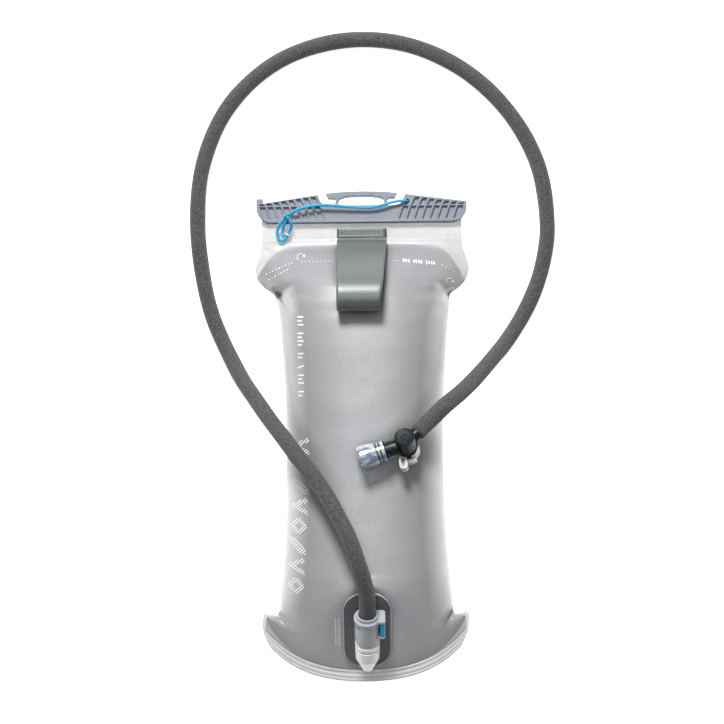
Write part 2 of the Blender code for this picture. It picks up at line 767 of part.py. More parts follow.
# Body of the port: local z is the connector axis, local y points down into the bag.
port_profile = [
    (3.6, 29.0), (3.6, -2.0), (0.0, -2.0), (0.0, -20.8), (3.4, -20.8), (4.2, -20.2),
    (9.2, -7.8),
    (9.3, 1.2), (8.6, 1.9), (8.6, 2.7), (9.3, 3.4), (9.3, 6.4), (8.6, 7.1), (8.6, 7.9),
    (9.3, 8.4), (9.1, 8.9), (7.5, 8.9), (7.5, 13.4), (5.8, 13.8), (5.8, 25.2), (4.8, 25.6),
    (4.8, 27.4), (5.8, 27.8), (5.8, 28.5), (5.4, 29.0),
]
port_body = revolve("port_body", port_profile, 24, M_FROST, CONN)
saddle = prism(
    "join_saddle", [(-4.0, -18.0), (4.0, -18.0), (6.6, -8.0), (6.8, 10.0), (-6.8, 10.0),
                    (-6.6, -8.0)],
    1.95, 8.0, None, PORT,
)
combine(port_body, saddle, "UNION")
combine(
    port_body,
    cylinder("cut_port_drop", 3.4, -2.0, 12.0, 16, None,
             PORT @ Matrix.Translation(Vector((0, -6.0, 0)) * MM)),
    "DIFFERENCE",
)
combine(
    port_body,
    cylinder("cut_port_bore", 2.4, -9.0, 3.0, 16, None, CONN),
    "DIFFERENCE",
)

poppet_profile = [
    (0.0, 10.0), (1.2, 10.0), (1.2, 24.0), (3.2, 24.6), (3.2, 26.0), (2.6, 26.8), (0.0, 26.8),
]
revolve("port_poppet", poppet_profile, 16, M_POPPET, CONN)
helix = []
for k in range(61):
    ang = 2.0 * math.pi * 4.0 * k / 60
    helix.append(CONN @ (Vector((2.3 * math.cos(ang), 2.3 * math.sin(ang), 17.6 + 6.2 * k / 60))
                         * MM) / MM)
cord_curve("poppet_spring", helix, 0.35, M_STEEL, 1)
revolve(
    "poppet_seat", [(3.35, 14.6), (3.35, 16.8), (1.5, 16.8), (1.5, 14.6)], 16, M_RUBBER, CONN,
)

# ---------------------------------------------------------------- quick-release coupler


def slanted(x, y, z):
    """The lower lip of the coupler runs further down on the front."""
    return (z < 13.0) * y * 0.3


coupler_profile = [
    (7.8, 12.3), (9.4, 12.3), (9.4, 29.0), (10.0, 29.6), (10.0, 31.6), (8.2, 32.0),
    (8.1, 34.4), (6.6, 34.4), (6.6, 30.6), (3.3, 30.6), (3.3, 29.4), (6.3, 29.4),
    (6.3, 15.2), (7.8, 15.0),
]
coupler = revolve("coupler_body", coupler_profile, 28, M_COUPLER, CONN, cut=slanted)
housing = prism(
    "join_housing",
    [(6.9, -6.6), (11.9, -6.6), (13.3, -5.2), (13.3, 5.2), (11.9, 6.6), (6.9, 6.6)],
    15.6, 32.2, None, CONN,
)
combine(coupler, housing, "UNION")
combine(
    coupler,
    box("cut_button_seat", 7.9, 16.0, -9.0, 9.0, 17.4, 30.2, None, CONN),
    "DIFFERENCE",
)
combine(
    coupler,
    prism(
        "cut_latch_slot",
        [(-12.0, -7.4), (3.2, -7.4), (7.0, -5.8), (9.6, -5.8), (9.6, 5.8), (7.0, 5.8),
         (3.2, 7.4), (-12.0, 7.4)],
        25.5, 27.5, None, CONN,
    ),
    "DIFFERENCE",
)
combine(
    coupler,
    box("cut_spring_seat", 6.9, 9.6, -1.6, 1.6, 19.6, 22.8, None, CONN),
    "DIFFERENCE",
)

# Button pad with its latch ring round the nose of the port.
button = prism(
    "release_button",
    [(9.4, -6.2), (12.2, -6.2), (13.2, -5.2), (13.2, 5.2), (12.2, 6.2), (9.4, 6.2)],
    17.9, 29.7, M_BLUE, CONN,
)
latch = prism(
    "join_latch",
    [(-9.1, -1.6), (-8.7, -3.2), (-7.7, -5.0), (-5.6, -6.9), (2.6, -6.9), (6.4, -5.3),
     (11.6, -5.3), (11.6, 5.3), (6.4, 5.3), (2.6, 6.9), (-5.6, 6.9), (-7.7, 5.0),
     (-8.7, 3.2), (-9.1, 1.6)],
    25.8, 27.2, None, CONN,
)
combine(button, latch, "UNION")
latch_slot = arc(1.6, 0.0, 6.0, -90, 90, 10) + arc(0.0, 0.0, 6.0, 90, 270, 10)
combine(button, prism("cut_latch_hole", latch_slot, 20.0, 32.0, None, CONN), "DIFFERENCE")
spring_path = []
for k in range(37):
    ang = 2.0 * math.pi * 3.0 * k / 36
    spring_path.append(
        CONN @ (Vector((7.15 + 2.0 * k / 36, 1.0 * math.cos(ang), 21.2 + 1.0 * math.sin(ang))) * MM)
        / MM
    )
cord_curve("button_spring", spring_path, 0.22, M_STEEL, 1)
revolve(
    "coupler_seal", [(5.95, 17.0), (6.2, 17.2), (6.2, 18.6), (5.95, 18.8)], 24, M_RUBBER, CONN,
)
revolve(
    "hose_barb",
    [(1.9, 27.0), (2.9, 27.0), (2.7, 31.3), (2.8, 31.6), (2.8, 42.5), (2.4, 45.0), (1.9, 45.0)],
    16, M_BLACK, CONN,
)

# ---------------------------------------------------------------- hose
up_end = [AXIS_ORIGIN + UP_SLOPE * s for s in (HOSE_START_S, 41.0, 51.0)]
down_end = [Vector(VALVE) + INLET_DIR * s for s in (41.0, 31.0, 21.0, HOSE_END_D)]
HOSE_LINE = smooth_path(up_end + [Vector(p) for p in HOSE_ROUTE] + down_end, HOSE_POINTS)
hollow_tube("hose_sleeve", HOSE_LINE, HOSE_R, SLEEVE_BORE, HOSE_SIDES, M_SLEEVE)
hollow_tube("drink_tube", HOSE_LINE, TUBE_R, TUBE_BORE, HOSE_SIDES, M_TUBE)

# ---------------------------------------------------------------- bite valve
ang_in = math.radians(INLET_TURN)
in_dir = (math.cos(ang_in), math.sin(ang_in), 0.0)
out_dir = (1.0, 0.0, 0.0)
flow = Vector(out_dir) - Vector(in_dir)
flow_dir = tuple(flow.normalized())

valve_profile = [
    (2.5, -10.5), (VALVE_R - 0.3, -10.5), (VALVE_R, -10.0), (VALVE_R, 9.2), (5.4, 9.2),
    (5.4, -9.0), (2.5, -9.0),
]
valve = revolve("valve_body", valve_profile, 28, M_BLACK, VALVE_FRAME)
neck_join = cylinder_along("join_neck", 5.7, 6.2, 14.6, 20, None, VALVE_FRAME, out_dir)
combine(valve, neck_join, "UNION")
inlet_join = cylinder_along("join_inlet", 5.2, 6.2, 11.2, 20, None, VALVE_FRAME, in_dir)
combine(valve, inlet_join, "UNION")
barb_join = cylinder_along("join_inlet_barb", 2.8, 7.0, 21.0, 12, None, VALVE_FRAME, in_dir)
combine(valve, barb_join, "UNION")
combine(
    valve,
    cylinder_along("cut_outlet", 3.4, 4.0, 20.0, 16, None, VALVE_FRAME, out_dir),
    "DIFFERENCE",
)
combine(
    valve,
    cylinder_along("cut_inlet", 1.9, 4.0, 30.0, 12, None, VALVE_FRAME, in_dir),
    "DIFFERENCE",
)
cap_profile = [
    (0.0, 9.4), (VALVE_R, 9.4), (VALVE_R, 10.2), (6.7, 10.8), (5.6, 10.5), (2.3, 10.35),
    (2.0, 9.8), (0.0, 9.8),
]
revolve("valve_cap", cap_profile, 28, M_BLACK, VALVE_FRAME)

spool = revolve(
    "valve_spool",
    [(0.0, -13.4), (2.2, -13.4), (2.2, -8.7), (5.1, -8.7), (5.1, -5.4), (4.6, -5.2), (4.6, -4.4),
     (5.1, -4.2), (5.1, 9.0), (0.0, 9.0)],
    24, M_POPPET, VALVE_FRAME,
)
combine(
    spool,
    cylinder_along("cut_spool_bore", 2.6, -12.0, 12.0, 14, None, VALVE_FRAME, flow_dir),
    "DIFFERENCE",
)
revolve(
    "spool_seal", [(4.75, -5.1), (5.25, -5.1), (5.25, -4.5), (4.75, -4.5)], 24, M_RUBBER,
    VALVE_FRAME,
)

# Shut-off lever: a cup under the body with a guard wall and a finger loop.
lever = revolve(
    "shutoff_lever",
    [(2.35, -11.0), (8.7, -11.0), (8.7, -12.4), (2.35, -12.4)], 28, M_LEVER, VALVE_FRAME,
)
# world -Y and +X seen in the valve frame, for the side the lever stands on
to_valve = VALVE_FRAME.to_3x3().inverted()
down_v = to_valve @ Vector((0.0, -1.0, 0.0))
down_a = math.degrees(math.atan2(down_v.y, down_v.x))


def sector(r0, r1, a0, a1, steps):
    return arc(0, 0, r1, a0, a1, steps) + arc(0, 0, r0, a1, a0, steps)


guard = prism(
    "join_guard", sector(7.75, 8.9, down_a + 26, down_a + 118, 10), -12.2, -5.6, None, VALVE_FRAME,
)
combine(lever, guard, "UNION")


def finger(name, turn, aside, r0, r1, half, z0, z1):
    """Elongated loop lying outward from the cup, set aside from its radius."""
    outline = [(r0, aside - half), (r1 - half, aside - half)]
    outline += arc(r1 - half, aside, half, -80, 80, 8)
    outline += [(r1 - half, aside + half), (r0, aside + half)]
    frame = VALVE_FRAME @ Matrix.Rotation(math.radians(turn), 4, "Z")
    return prism(name, outline, z0, z1, None, frame)


web = prism(
    "join_web", sector(7.9, 11.4, down_a - 4, down_a + 42, 8), -12.25, -8.6, None, VALVE_FRAME,
)
combine(lever, web, "UNION")
turn = down_a + 10
combine(lever, finger("join_finger", turn, -4.2, 4.6, 16.6, 3.0, -12.3, -6.5), "UNION")
combine(lever, finger("cut_finger", turn, -4.4, 8.4, 15.2, 1.3, -9.4, -2.0), "DIFFERENCE")
combine(
    lever,
    cylinder("cut_lever_body", 7.65, -10.8, 4.0, 28, None, VALVE_FRAME),
    "DIFFERENCE",
)

# Mouthpiece: local z along the mouthpiece, away from the valve.
MOUTH_FRAME = VALVE_FRAME @ Matrix(((0, 0, 1, 0), (1, 0, 0, 0), (0, 1, 0, 0), (0, 0, 0, 1)))
stem_profile = [
    (2.0, 10.0), (3.25, 10.0), (3.25, 14.9), (6.4, 14.9), (6.4, 16.2), (5.2, 16.4), (5.2, 21.0),
    (5.6, 21.6), (5.2, 23.4), (2.0, 23.4),
]
revolve("mouthpiece_stem", stem_profile, 20, M_BLACK, MOUTH_FRAME)
sheath_profile = [
    (5.9, 16.5), (7.6, 16.5), (7.8, 18.6), (7.2, 19.0), (7.2, 19.7), (7.9, 20.1), (7.9, 21.0),
    (7.3, 21.4), (7.3, 22.1), (8.1, 22.5), (9.0, 30.0), (9.3, 34.6), (8.7, 36.0), (7.2, 36.2),
    (1.2, 34.8), (1.2, 33.2), (7.0, 33.8), (7.2, 30.0), (5.9, 24.0),
]
revolve("bite_sheath", sheath_profile, 24, M_SILICONE, MOUTH_FRAME)
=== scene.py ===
"""Looks of the hydration bladder: film, webbing, hose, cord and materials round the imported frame.

The frame is in metres.  Lengths below are in millimetres where a name or comment says so, and are
scaled once, where a mesh is made.
"""

import functools
import math

import bpy
import numpy as np
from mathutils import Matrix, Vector, noise


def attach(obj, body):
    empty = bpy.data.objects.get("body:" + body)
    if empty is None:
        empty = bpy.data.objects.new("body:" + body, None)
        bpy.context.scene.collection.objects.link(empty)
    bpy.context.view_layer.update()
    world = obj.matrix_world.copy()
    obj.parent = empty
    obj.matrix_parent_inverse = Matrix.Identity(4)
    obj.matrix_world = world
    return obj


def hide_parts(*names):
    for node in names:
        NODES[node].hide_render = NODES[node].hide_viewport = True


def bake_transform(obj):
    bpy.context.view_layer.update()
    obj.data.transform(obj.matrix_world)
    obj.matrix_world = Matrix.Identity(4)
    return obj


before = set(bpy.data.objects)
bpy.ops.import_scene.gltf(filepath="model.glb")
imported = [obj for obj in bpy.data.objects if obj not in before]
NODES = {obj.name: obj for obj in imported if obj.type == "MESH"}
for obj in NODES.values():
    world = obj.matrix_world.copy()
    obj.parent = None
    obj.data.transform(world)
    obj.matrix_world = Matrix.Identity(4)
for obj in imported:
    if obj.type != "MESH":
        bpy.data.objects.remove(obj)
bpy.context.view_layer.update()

MM = 0.001
SEAM_Z = 34.0            # height of the bag's flat mouth and of its hem


# -------------------- camera
CAMERA_AT = (-0.00082, 0.05776, 1.100)
CAMERA_ROLL = -0.0102    # radians; the object lies slightly turned in the picture
CAMERA_LENS = 68.77
SENSOR_WIDTH = 36.0


def make_camera():
    """Straight overhead, a little over a metre up."""
    data = bpy.data.cameras.new("overhead_camera")
    data.lens = CAMERA_LENS
    data.sensor_width = SENSOR_WIDTH
    data.clip_start = 0.02
    camera = bpy.data.objects.new("overhead_camera", data)
    camera.location = CAMERA_AT
    camera.rotation_euler = (0.0, 0.0, CAMERA_ROLL)
    bpy.context.scene.collection.objects.link(camera)
    bpy.context.scene.camera = camera


make_camera()


# -------------------- shader helpers
class Look:
    """A Principled material with its colour, roughness and bump worked out by nodes."""

    def __init__(self, name, color, rough, metal=0.0, **sockets):
        self.mat = bpy.data.materials.new(name)
        self.mat.use_nodes = True
        self.tree = self.mat.node_tree
        self.bsdf = self.tree.nodes["Principled BSDF"]
        self.bsdf.inputs["Base Color"].default_value = (*color, 1.0)
        self.bsdf.inputs["Roughness"].default_value = rough
        self.bsdf.inputs["Metallic"].default_value = metal
        for key, value in sockets.items():
            self.bsdf.inputs[key.replace("_", " ")].default_value = value
        self.place = self.node("TexCoord").outputs["Object"]
        self.normal = None

    def node(self, kind, inputs=None, **props):
        made = self.tree.nodes.new("ShaderNode" + kind)
        for key, value in props.items():
            setattr(made, key, value)
        for key, value in (inputs or {}).items():
            if isinstance(value, bpy.types.NodeSocket):
                self.tree.links.new(value, made.inputs[key])
            else:
                made.inputs[key].default_value = value
        return made

    def math(self, operation, a, b=0.0):
        return self.node("Math", {0: a, 1: b}, operation=operation).outputs[0]

    def fit(self, value, low, high, to_low=0.0, to_high=1.0):
        """Value carried from one range to another, held at its ends."""
        inputs = {"Value": value, "From Min": low, "From Max": high,
                  "To Min": to_low, "To Max": to_high}
        return self.node("MapRange", inputs).outputs[0]

    def noise(self, scale, detail=3.0, rough=0.6, vector=None):
        inputs = {"Vector": vector or self.place, "Scale": scale, "Detail": detail,
                  "Roughness": rough}
        return self.node("TexNoise", inputs).outputs[0]

    def stretched(self, vector, scale):
        return self.node("Mapping", {"Vector": vector, "Scale": scale}).outputs[0]

    def mix(self, share, a, b):
        a, b = (c if isinstance(c, bpy.types.NodeSocket) else (*c, 1.0) for c in (a, b))
        return self.node("Mix", {0: share, 6: a, 7: b}, data_type="RGBA").outputs[2]

    def unwrapped(self):
        """The UV point, and its two parts."""
        uv = self.node("TexCoord").outputs["UV"]
        return uv, self.part(uv, "X"), self.part(uv, "Y")

    def attribute(self, name):
        return self.node("Attribute", attribute_name=name).outputs["Fac"]

    def part(self, vector, axis):
        return self.node("SeparateXYZ", {0: vector}).outputs[axis]

    def true_normal(self):
        return self.node("NewGeometry").outputs["Normal"]

    def dot(self, a, b):
        return self.node("VectorMath", {0: a, 1: b}, operation="DOT_PRODUCT").outputs["Value"]

    def along(self, direction):
        """Metres along a direction through the object's origin."""
        return self.dot(self.place, tuple(direction))

    def bump(self, height, distance, strength):
        inputs = {"Height": height, "Distance": distance, "Strength": strength}
        if self.normal is not None:
            inputs["Normal"] = self.normal
        self.normal = self.node("Bump", inputs).outputs[0]

    def rounded(self, radius):
        """Softened edges, and how near an edge each point is."""
        self.normal = self.node("Bevel", {"Radius": radius}, samples=4).outputs[0]
        return self.fit(self.dot(self.normal, self.true_normal()), 0.995, 0.86)

    def painted_shade_mask(self, reach):
        """Zero deep in corners and pockets and close under other parts, one in the open: where
        painted shade goes.
        """
        made = self.node("AmbientOcclusion", {"Distance": reach}, samples=6)
        return self.fit(made.outputs["AO"], 0.35, 0.85)

    def finish(self, color, rough=None, alpha=None):
        ends = {"Base Color": color, "Roughness": rough, "Alpha": alpha, "Normal": self.normal}
        for key, socket in ends.items():
            if socket is not None:
                self.tree.links.new(socket, self.bsdf.inputs[key])
        return self.mat


def shade(color, gain):
    return tuple(min(1.0, c * gain) for c in color)


def moulded(name, color, rough, round_off=0.00035, worn=1.25, painted_side_shade=0.0, painted_pocket_shade=0.45,
            **sockets):
    """Moulded plastic: faint flow clouds, spark-eroded grain and paler handled edges.  The side
    shade argument is how much painted shade darkens the edges that face the bag, away from the key
    lamp;
    the pocket shade argument scales the colour in pockets: painted shade below one, painted light
    above it."""
    look = Look(name, color, rough, **sockets)
    edge = look.rounded(round_off)
    toward_bag = look.part(look.normal, "Y")
    clouds = look.fit(look.noise(90.0, 4.0), 0.3, 0.7)
    grain = look.noise(2600.0, 2.0, 0.7)
    base = look.mix(clouds, shade(color, 0.93), shade(color, 1.07))
    scuffs = look.fit(look.noise(420.0, 5.0, 0.7), 0.48, 0.62)
    base = look.mix(look.math("MULTIPLY", edge, look.fit(scuffs, 0.0, 1.0, 0.4, 1.0)),
                    base, shade(color, worn))
    # painted shade in pockets and corners, or painted light where the pocket scale is above one
    base = look.mix(look.painted_shade_mask(0.003), shade(color, painted_pocket_shade), base)
    # painted shade on the edges that face the bag, away from the key lamp
    base = look.mix(look.fit(toward_bag, -0.12, -0.6, 0.0, painted_side_shade), base, shade(color, 0.15))
    look.bump(grain, 0.00006, 0.5)
    wet = look.fit(look.noise(300.0, 4.0), 0.35, 0.65, rough - 0.06, rough + 0.08)
    return look.finish(base, wet)


def clear_plastic(name, tint, rough, alpha):
    """Clear or milky plastic with faint flow lines."""
    look = Look(name, tint, rough, IOR=1.46)
    look.rounded(0.0003)
    flow = look.noise(60.0, 3.0, 0.5, look.stretched(look.place, (1.0, 1.0, 6.0)))
    base = look.mix(look.fit(flow, 0.3, 0.7), shade(tint, 0.95), shade(tint, 1.04))
    look.bump(look.noise(900.0, 2.0), 0.00008, 0.4)
    haze = look.fit(look.noise(220.0, 3.0), 0.35, 0.65, rough - 0.05, rough + 0.08)
    return look.finish(base, haze, look.fit(flow, 0.3, 0.7, alpha - 0.05, alpha + 0.05))


UP_SLOPE = (0.0, 0.8387, 0.5446)     # the connector's axis, out of the port and up the bag
PORT_RUN = -0.0762       # middle of the port, measured along that axis


def frosted(name):
    """Milky port: greyer towards the coupler, where the dark plate shows through, and white at
    its closed end."""
    look = Look(name, (0.8, 0.8, 0.78), 0.26, Transmission_Weight=0.08, Coat_Weight=0.4,
                Coat_Roughness=0.1)
    look.rounded(0.0004)
    grey_end = look.fit(look.along(UP_SLOPE), PORT_RUN - 0.004, PORT_RUN + 0.009)
    base = look.mix(grey_end, (0.93, 0.93, 0.90), (0.48, 0.48, 0.48))
    flow = look.noise(160.0, 3.0, 0.5, look.stretched(look.place, (1.0, 0.4, 1.0)))
    base = look.mix(look.fit(flow, 0.35, 0.65, 0.0, 0.3), base, (0.95, 0.95, 0.94))
    # painted shade in the port's corners and crevices
    base = look.mix(look.painted_shade_mask(0.0016), (0.30, 0.30, 0.30), base)
    look.bump(look.noise(300.0, 2.0), 0.00012, 0.3)
    return look.finish(base, look.fit(flow, 0.3, 0.7, 0.2, 0.36))


def rubber(name, color):
    look = Look(name, color, 0.62)
    look.bump(look.noise(1500.0, 3.0), 0.00008, 0.6)
    dust = look.fit(look.noise(260.0, 4.0), 0.45, 0.7)
    return look.finish(look.mix(dust, color, shade(color, 2.2)),
                       look.fit(dust, 0.0, 1.0, 0.55, 0.75))


def steel(name):
    look = Look(name, (0.62, 0.62, 0.61), 0.22, metal=1.0)
    drawn = look.noise(4000.0, 2.0, 0.5, look.stretched(look.place, (1.0, 1.0, 0.1)))
    look.bump(drawn, 0.00002, 0.5)
    return look.finish(look.mix(drawn, (0.5, 0.5, 0.5), (0.72, 0.71, 0.69)),
                       look.fit(drawn, 0.3, 0.7, 0.16, 0.32))


VALVE = Vector((30.8, -2.2, 88.8))   # middle of the bite valve's barrel
SPOOL_AXIS = Vector((-0.154, 0.524, 0.838)).normalized()
MOUTH_DIR = Vector((-0.945, -0.327, -0.0265)).normalized()
SHEATH_GROOVES = (0.0193, 0.0218)    # metres from the valve's middle along MOUTH_DIR


def silicone(name):
    """Clear bluish silicone: painted pale patches where light gathers in it, painted shade in the
    grooves of its collar, with a bloom of fine dust."""
    look = Look(name, (0.6, 0.7, 0.84), 0.16, Transmission_Weight=0.45, IOR=1.41,
                Coat_Weight=0.5, Coat_Roughness=0.1)
    along = look.math("SUBTRACT", look.along(MOUTH_DIR), VALVE.dot(MOUTH_DIR) * MM)
    # pale patches of painted light inside the clear silicone
    gather = look.noise(170.0, 2.0, 0.5, look.stretched(look.place, (0.7, 1.3, 1.0)))
    base = look.mix(look.fit(gather, 0.42, 0.58), (0.29, 0.37, 0.50), (0.80, 0.84, 0.88))
    # dark bands of painted shade in the two grooves of the collar
    for groove in SHEATH_GROOVES:
        away = look.math("ABSOLUTE", look.math("SUBTRACT", along, groove))
        base = look.mix(look.fit(away, 0.0003, 0.0010), (0.06, 0.08, 0.11), base)
    bloom = look.fit(look.noise(260.0, 4.0), 0.4, 0.7)
    look.bump(look.noise(300.0, 2.0), 0.00025, 0.45)
    return look.finish(base, look.fit(bloom, 0.0, 1.0, 0.08, 0.24))


BRAID_TURNS = 8.0        # strands round the cord
BRAID_RUN = 620.0        # strands along one metre of it
KNIT_COLUMNS = 56.0      # knit columns round the hose
KNIT_COURSES = 1500.0    # courses along one metre of it


def braid(name, color):
    """Braided cord: two sets of strands crossing, from u round the cord and v along it."""
    look = Look(name, color, 0.55, Sheen_Weight=0.35, Sheen_Roughness=0.4)
    _, u, v = look.unwrapped()
    turns = look.math("MULTIPLY", u, BRAID_TURNS)
    run = look.math("MULTIPLY", v, BRAID_RUN)
    one = look.math("PINGPONG", look.math("ADD", run, turns), 0.5)
    two = look.math("PINGPONG", look.math("SUBTRACT", run, turns), 0.5)
    strands = look.math("MULTIPLY", look.math("MAXIMUM", one, two), 2.0)
    look.bump(strands, 0.00018, 0.9)
    base = look.mix(look.fit(strands, 0.45, 0.95), shade(color, 0.62), shade(color, 1.25))
    return look.finish(base, look.fit(look.noise(900.0), 0.3, 0.7, 0.45, 0.68))


def neoprene(name):
    """Jersey-faced neoprene: knit columns along the hose, fine pills and lighter specks."""
    dark, pale = (0.028, 0.029, 0.031), (0.15, 0.152, 0.155)
    look = Look(name, dark, 0.88, Sheen_Weight=0.12, Sheen_Roughness=0.5)
    _, u, v = look.unwrapped()
    column = look.math("PINGPONG", look.math("MULTIPLY", u, KNIT_COLUMNS), 0.5)
    lean = look.math("MULTIPLY", column, 1.4)
    course = look.math("ADD", look.math("MULTIPLY", v, KNIT_COURSES), lean)
    loops = look.math("MULTIPLY", look.math("PINGPONG", course, 0.5), 2.0)
    knit = look.math("MULTIPLY", loops, look.math("ADD", column, 0.5))
    fluff = look.noise(1250.0, 2.0, 0.7)
    broad = look.noise(70.0, 3.0)
    tone = look.math("ADD", look.math("MULTIPLY", knit, 0.25), look.fit(fluff, 0.36, 0.66))
    base = look.mix(look.fit(tone, 0.25, 1.15), dark, pale)
    base = look.mix(look.fit(broad, 0.3, 0.75, 0.0, 0.3), base, (0.06, 0.062, 0.065))
    look.bump(look.math("ADD", look.math("MULTIPLY", knit, 0.5), fluff), 0.00028, 0.55)
    return look.finish(base, look.fit(fluff, 0.3, 0.7, 0.8, 0.96))


def webbing(name, gain):
    """Polyester webbing: a glossy diagonal twill, u across and v along, both in millimetres.
    Where it turns away from the key lamp at its fold it takes painted shade."""
    dark, pale = (0.045, 0.055, 0.053), (0.36, 0.41, 0.395)
    look = Look(name, dark, 0.4, Sheen_Weight=0.2, Sheen_Roughness=0.3, Specular_IOR_Level=0.6,
                Coat_Weight=0.65, Coat_Roughness=0.38, Coat_IOR=1.75)
    uv, u, v = look.unwrapped()
    fibre = look.noise(9.0, 3.0, 0.6, look.stretched(uv, (0.6, 6.0, 1.0)))
    wander = look.math("MULTIPLY", look.noise(0.35, 2.0, 0.5, uv), 0.25)
    pick = look.math("PINGPONG", look.math("MULTIPLY", v, 0.95), 0.5)
    slant = look.math("ADD", look.math("MULTIPLY", u, 0.62), look.math("MULTIPLY", v, 0.475))
    rib = look.math("PINGPONG", look.math("ADD", slant, wander), 0.5)
    thread = look.math("MULTIPLY", look.fit(rib, 0.12, 0.34), look.fit(pick, 0.03, 0.24))
    tone = look.math("MULTIPLY", thread, look.fit(fibre, 0.3, 0.7, 0.55, 1.0))
    base = look.mix(tone, shade(dark, gain), shade(pale, gain))
    # painted shade where the strap turns away from the key lamp, at its fold
    turned = look.part(look.true_normal(), "Y")
    base = look.mix(look.fit(turned, 0.05, -0.5, 0.0, 0.7), base, shade(dark, 0.8))
    look.bump(look.math("ADD", thread, look.math("MULTIPLY", fibre, 0.3)), 0.00035, 0.9)
    return look.finish(base, look.fit(fibre, 0.3, 0.7, 0.3, 0.48))


def thread_look(name, color):
    look = Look(name, color, 0.6, Sheen_Weight=0.3)
    twist = look.noise(3000.0, 2.0)
    look.bump(twist, 0.00006, 0.6)
    return look.finish(look.mix(twist, shade(color, 0.8), shade(color, 1.1)))


def ink(name):
    look = Look(name, (0.86, 0.87, 0.88), 0.5)
    rubbed = look.fit(look.noise(700.0, 4.0, 0.7), 0.38, 0.55)
    return look.finish(look.mix(rubbed, (0.74, 0.75, 0.77), (0.88, 0.89, 0.90)))


def film_look(name):
    """Satin film: grey print inside its edge, milky clear film outside, thin sides painted pale as
    if the light of the table came through, painted light and shade by which way the film faces,
    painted shadow under the parts on it, and a welded hem with darker lines."""
    grey, clear = (0.385, 0.388, 0.402), (0.62, 0.625, 0.62)
    painted_rim_light, weld = (0.62, 0.62, 0.61), (0.34, 0.34, 0.34)
    look = Look(name, grey, 0.42, Sheen_Weight=0.4, Sheen_Roughness=0.35,
                Specular_IOR_Level=0.8)
    inked = look.math("MULTIPLY", look.fit(look.attribute("print_edge"), -0.35, 0.35),
                      look.fit(look.attribute("hem"), -0.2, 0.2))
    grain = look.noise(850.0, 3.0, 0.7)
    clouds = look.noise(28.0, 4.0, 0.55)
    turned = look.math("ABSOLUTE", look.part(look.true_normal(), "X"))
    slope = look.part(look.true_normal(), "Y")
    printed = look.mix(look.fit(grain, 0.3, 0.7), shade(grey, 0.86), shade(grey, 1.13))
    printed = look.mix(look.fit(clouds, 0.35, 0.7, 0.0, 0.5), printed, shade(grey, 1.08))
    # painted shade on the sloping sides between the top and the rims
    printed = look.mix(look.fit(turned, 0.12, 0.48, 0.0, 0.75), printed, shade(grey, 0.72))
    # painted shade where the film faces the mouth end, painted light where it faces the hem
    printed = look.mix(look.fit(slope, 0.05, 0.45, 0.0, 0.8), printed, shade(grey, 0.74))
    printed = look.mix(look.fit(slope, -0.08, -0.5, 0.0, 0.6), printed, shade(grey, 1.25))
    # painted light on the steep thin sides, where the table's light would shine through the film
    printed = look.mix(look.fit(turned, 0.52, 0.94), printed, painted_rim_light)
    milky = look.mix(look.fit(clouds, 0.35, 0.7), shade(clear, 0.96), clear)
    # painted shade where the clear film faces the mouth end
    milky = look.mix(look.fit(slope, 0.1, 0.5, 0.0, 0.9), milky, shade(clear, 0.74))
    milky = look.mix(look.fit(turned, 0.45, 0.95, 0.0, 0.7), milky, weld)
    milky = look.mix(look.fit(look.attribute("seam"), 0.05, 0.8, 0.0, 0.85), milky, weld)
    # painted shadow close under the strap, hose, valve and other parts on the film
    printed = look.mix(look.painted_shade_mask(0.018), shade(grey, 0.2), printed)
    base = look.mix(inked, milky, printed)
    look.bump(look.noise(60.0, 3.0, 0.5), 0.0006, 0.35)
    look.bump(grain, 0.00012, 0.6)
    rough = look.fit(look.noise(120.0, 4.0), 0.3, 0.7, 0.34, 0.48)
    alpha = look.fit(inked, 0.0, 1.0, 0.62, 1.0)
    return look.finish(base, rough, alpha)


FLOOR_GLOW = 0.85


def floor_look(name):
    """White sweep that also glows a little, so that shadows on it are washed out."""
    look = Look(name, (0.8, 0.8, 0.8), 0.7, Emission_Color=(1.0, 1.0, 1.0, 1.0),
                Emission_Strength=FLOOR_GLOW)
    paper = look.noise(35.0, 5.0, 0.6)
    return look.finish(look.mix(look.fit(paper, 0.3, 0.7), (0.79, 0.79, 0.79), (0.82, 0.82, 0.82)))


# -------------------- mesh helpers
SPLINE_STEPS = 24        # between two points of a route


def add_mesh(name, verts, faces, mat, smooth=True, uvs=None, attributes=None):
    """Verts are in millimetres.  uvs holds one pair per face corner, attributes one value per
    vertex."""
    mesh = bpy.data.meshes.new(name)
    mesh.from_pydata([tuple(c * MM for c in v) for v in verts], [], faces)
    mesh.materials.append(mat)
    if uvs is not None:
        layer = mesh.uv_layers.new(name="UVMap")
        layer.data.foreach_set("uv", [c for pair in uvs for c in pair])
    for key, values in (attributes or {}).items():
        mesh.attributes.new(key, "FLOAT", "POINT").data.foreach_set("value", values)
    mesh.polygons.foreach_set("use_smooth", [smooth] * len(mesh.polygons))
    obj = bpy.data.objects.new(name, mesh)
    bpy.context.scene.collection.objects.link(obj)
    return obj


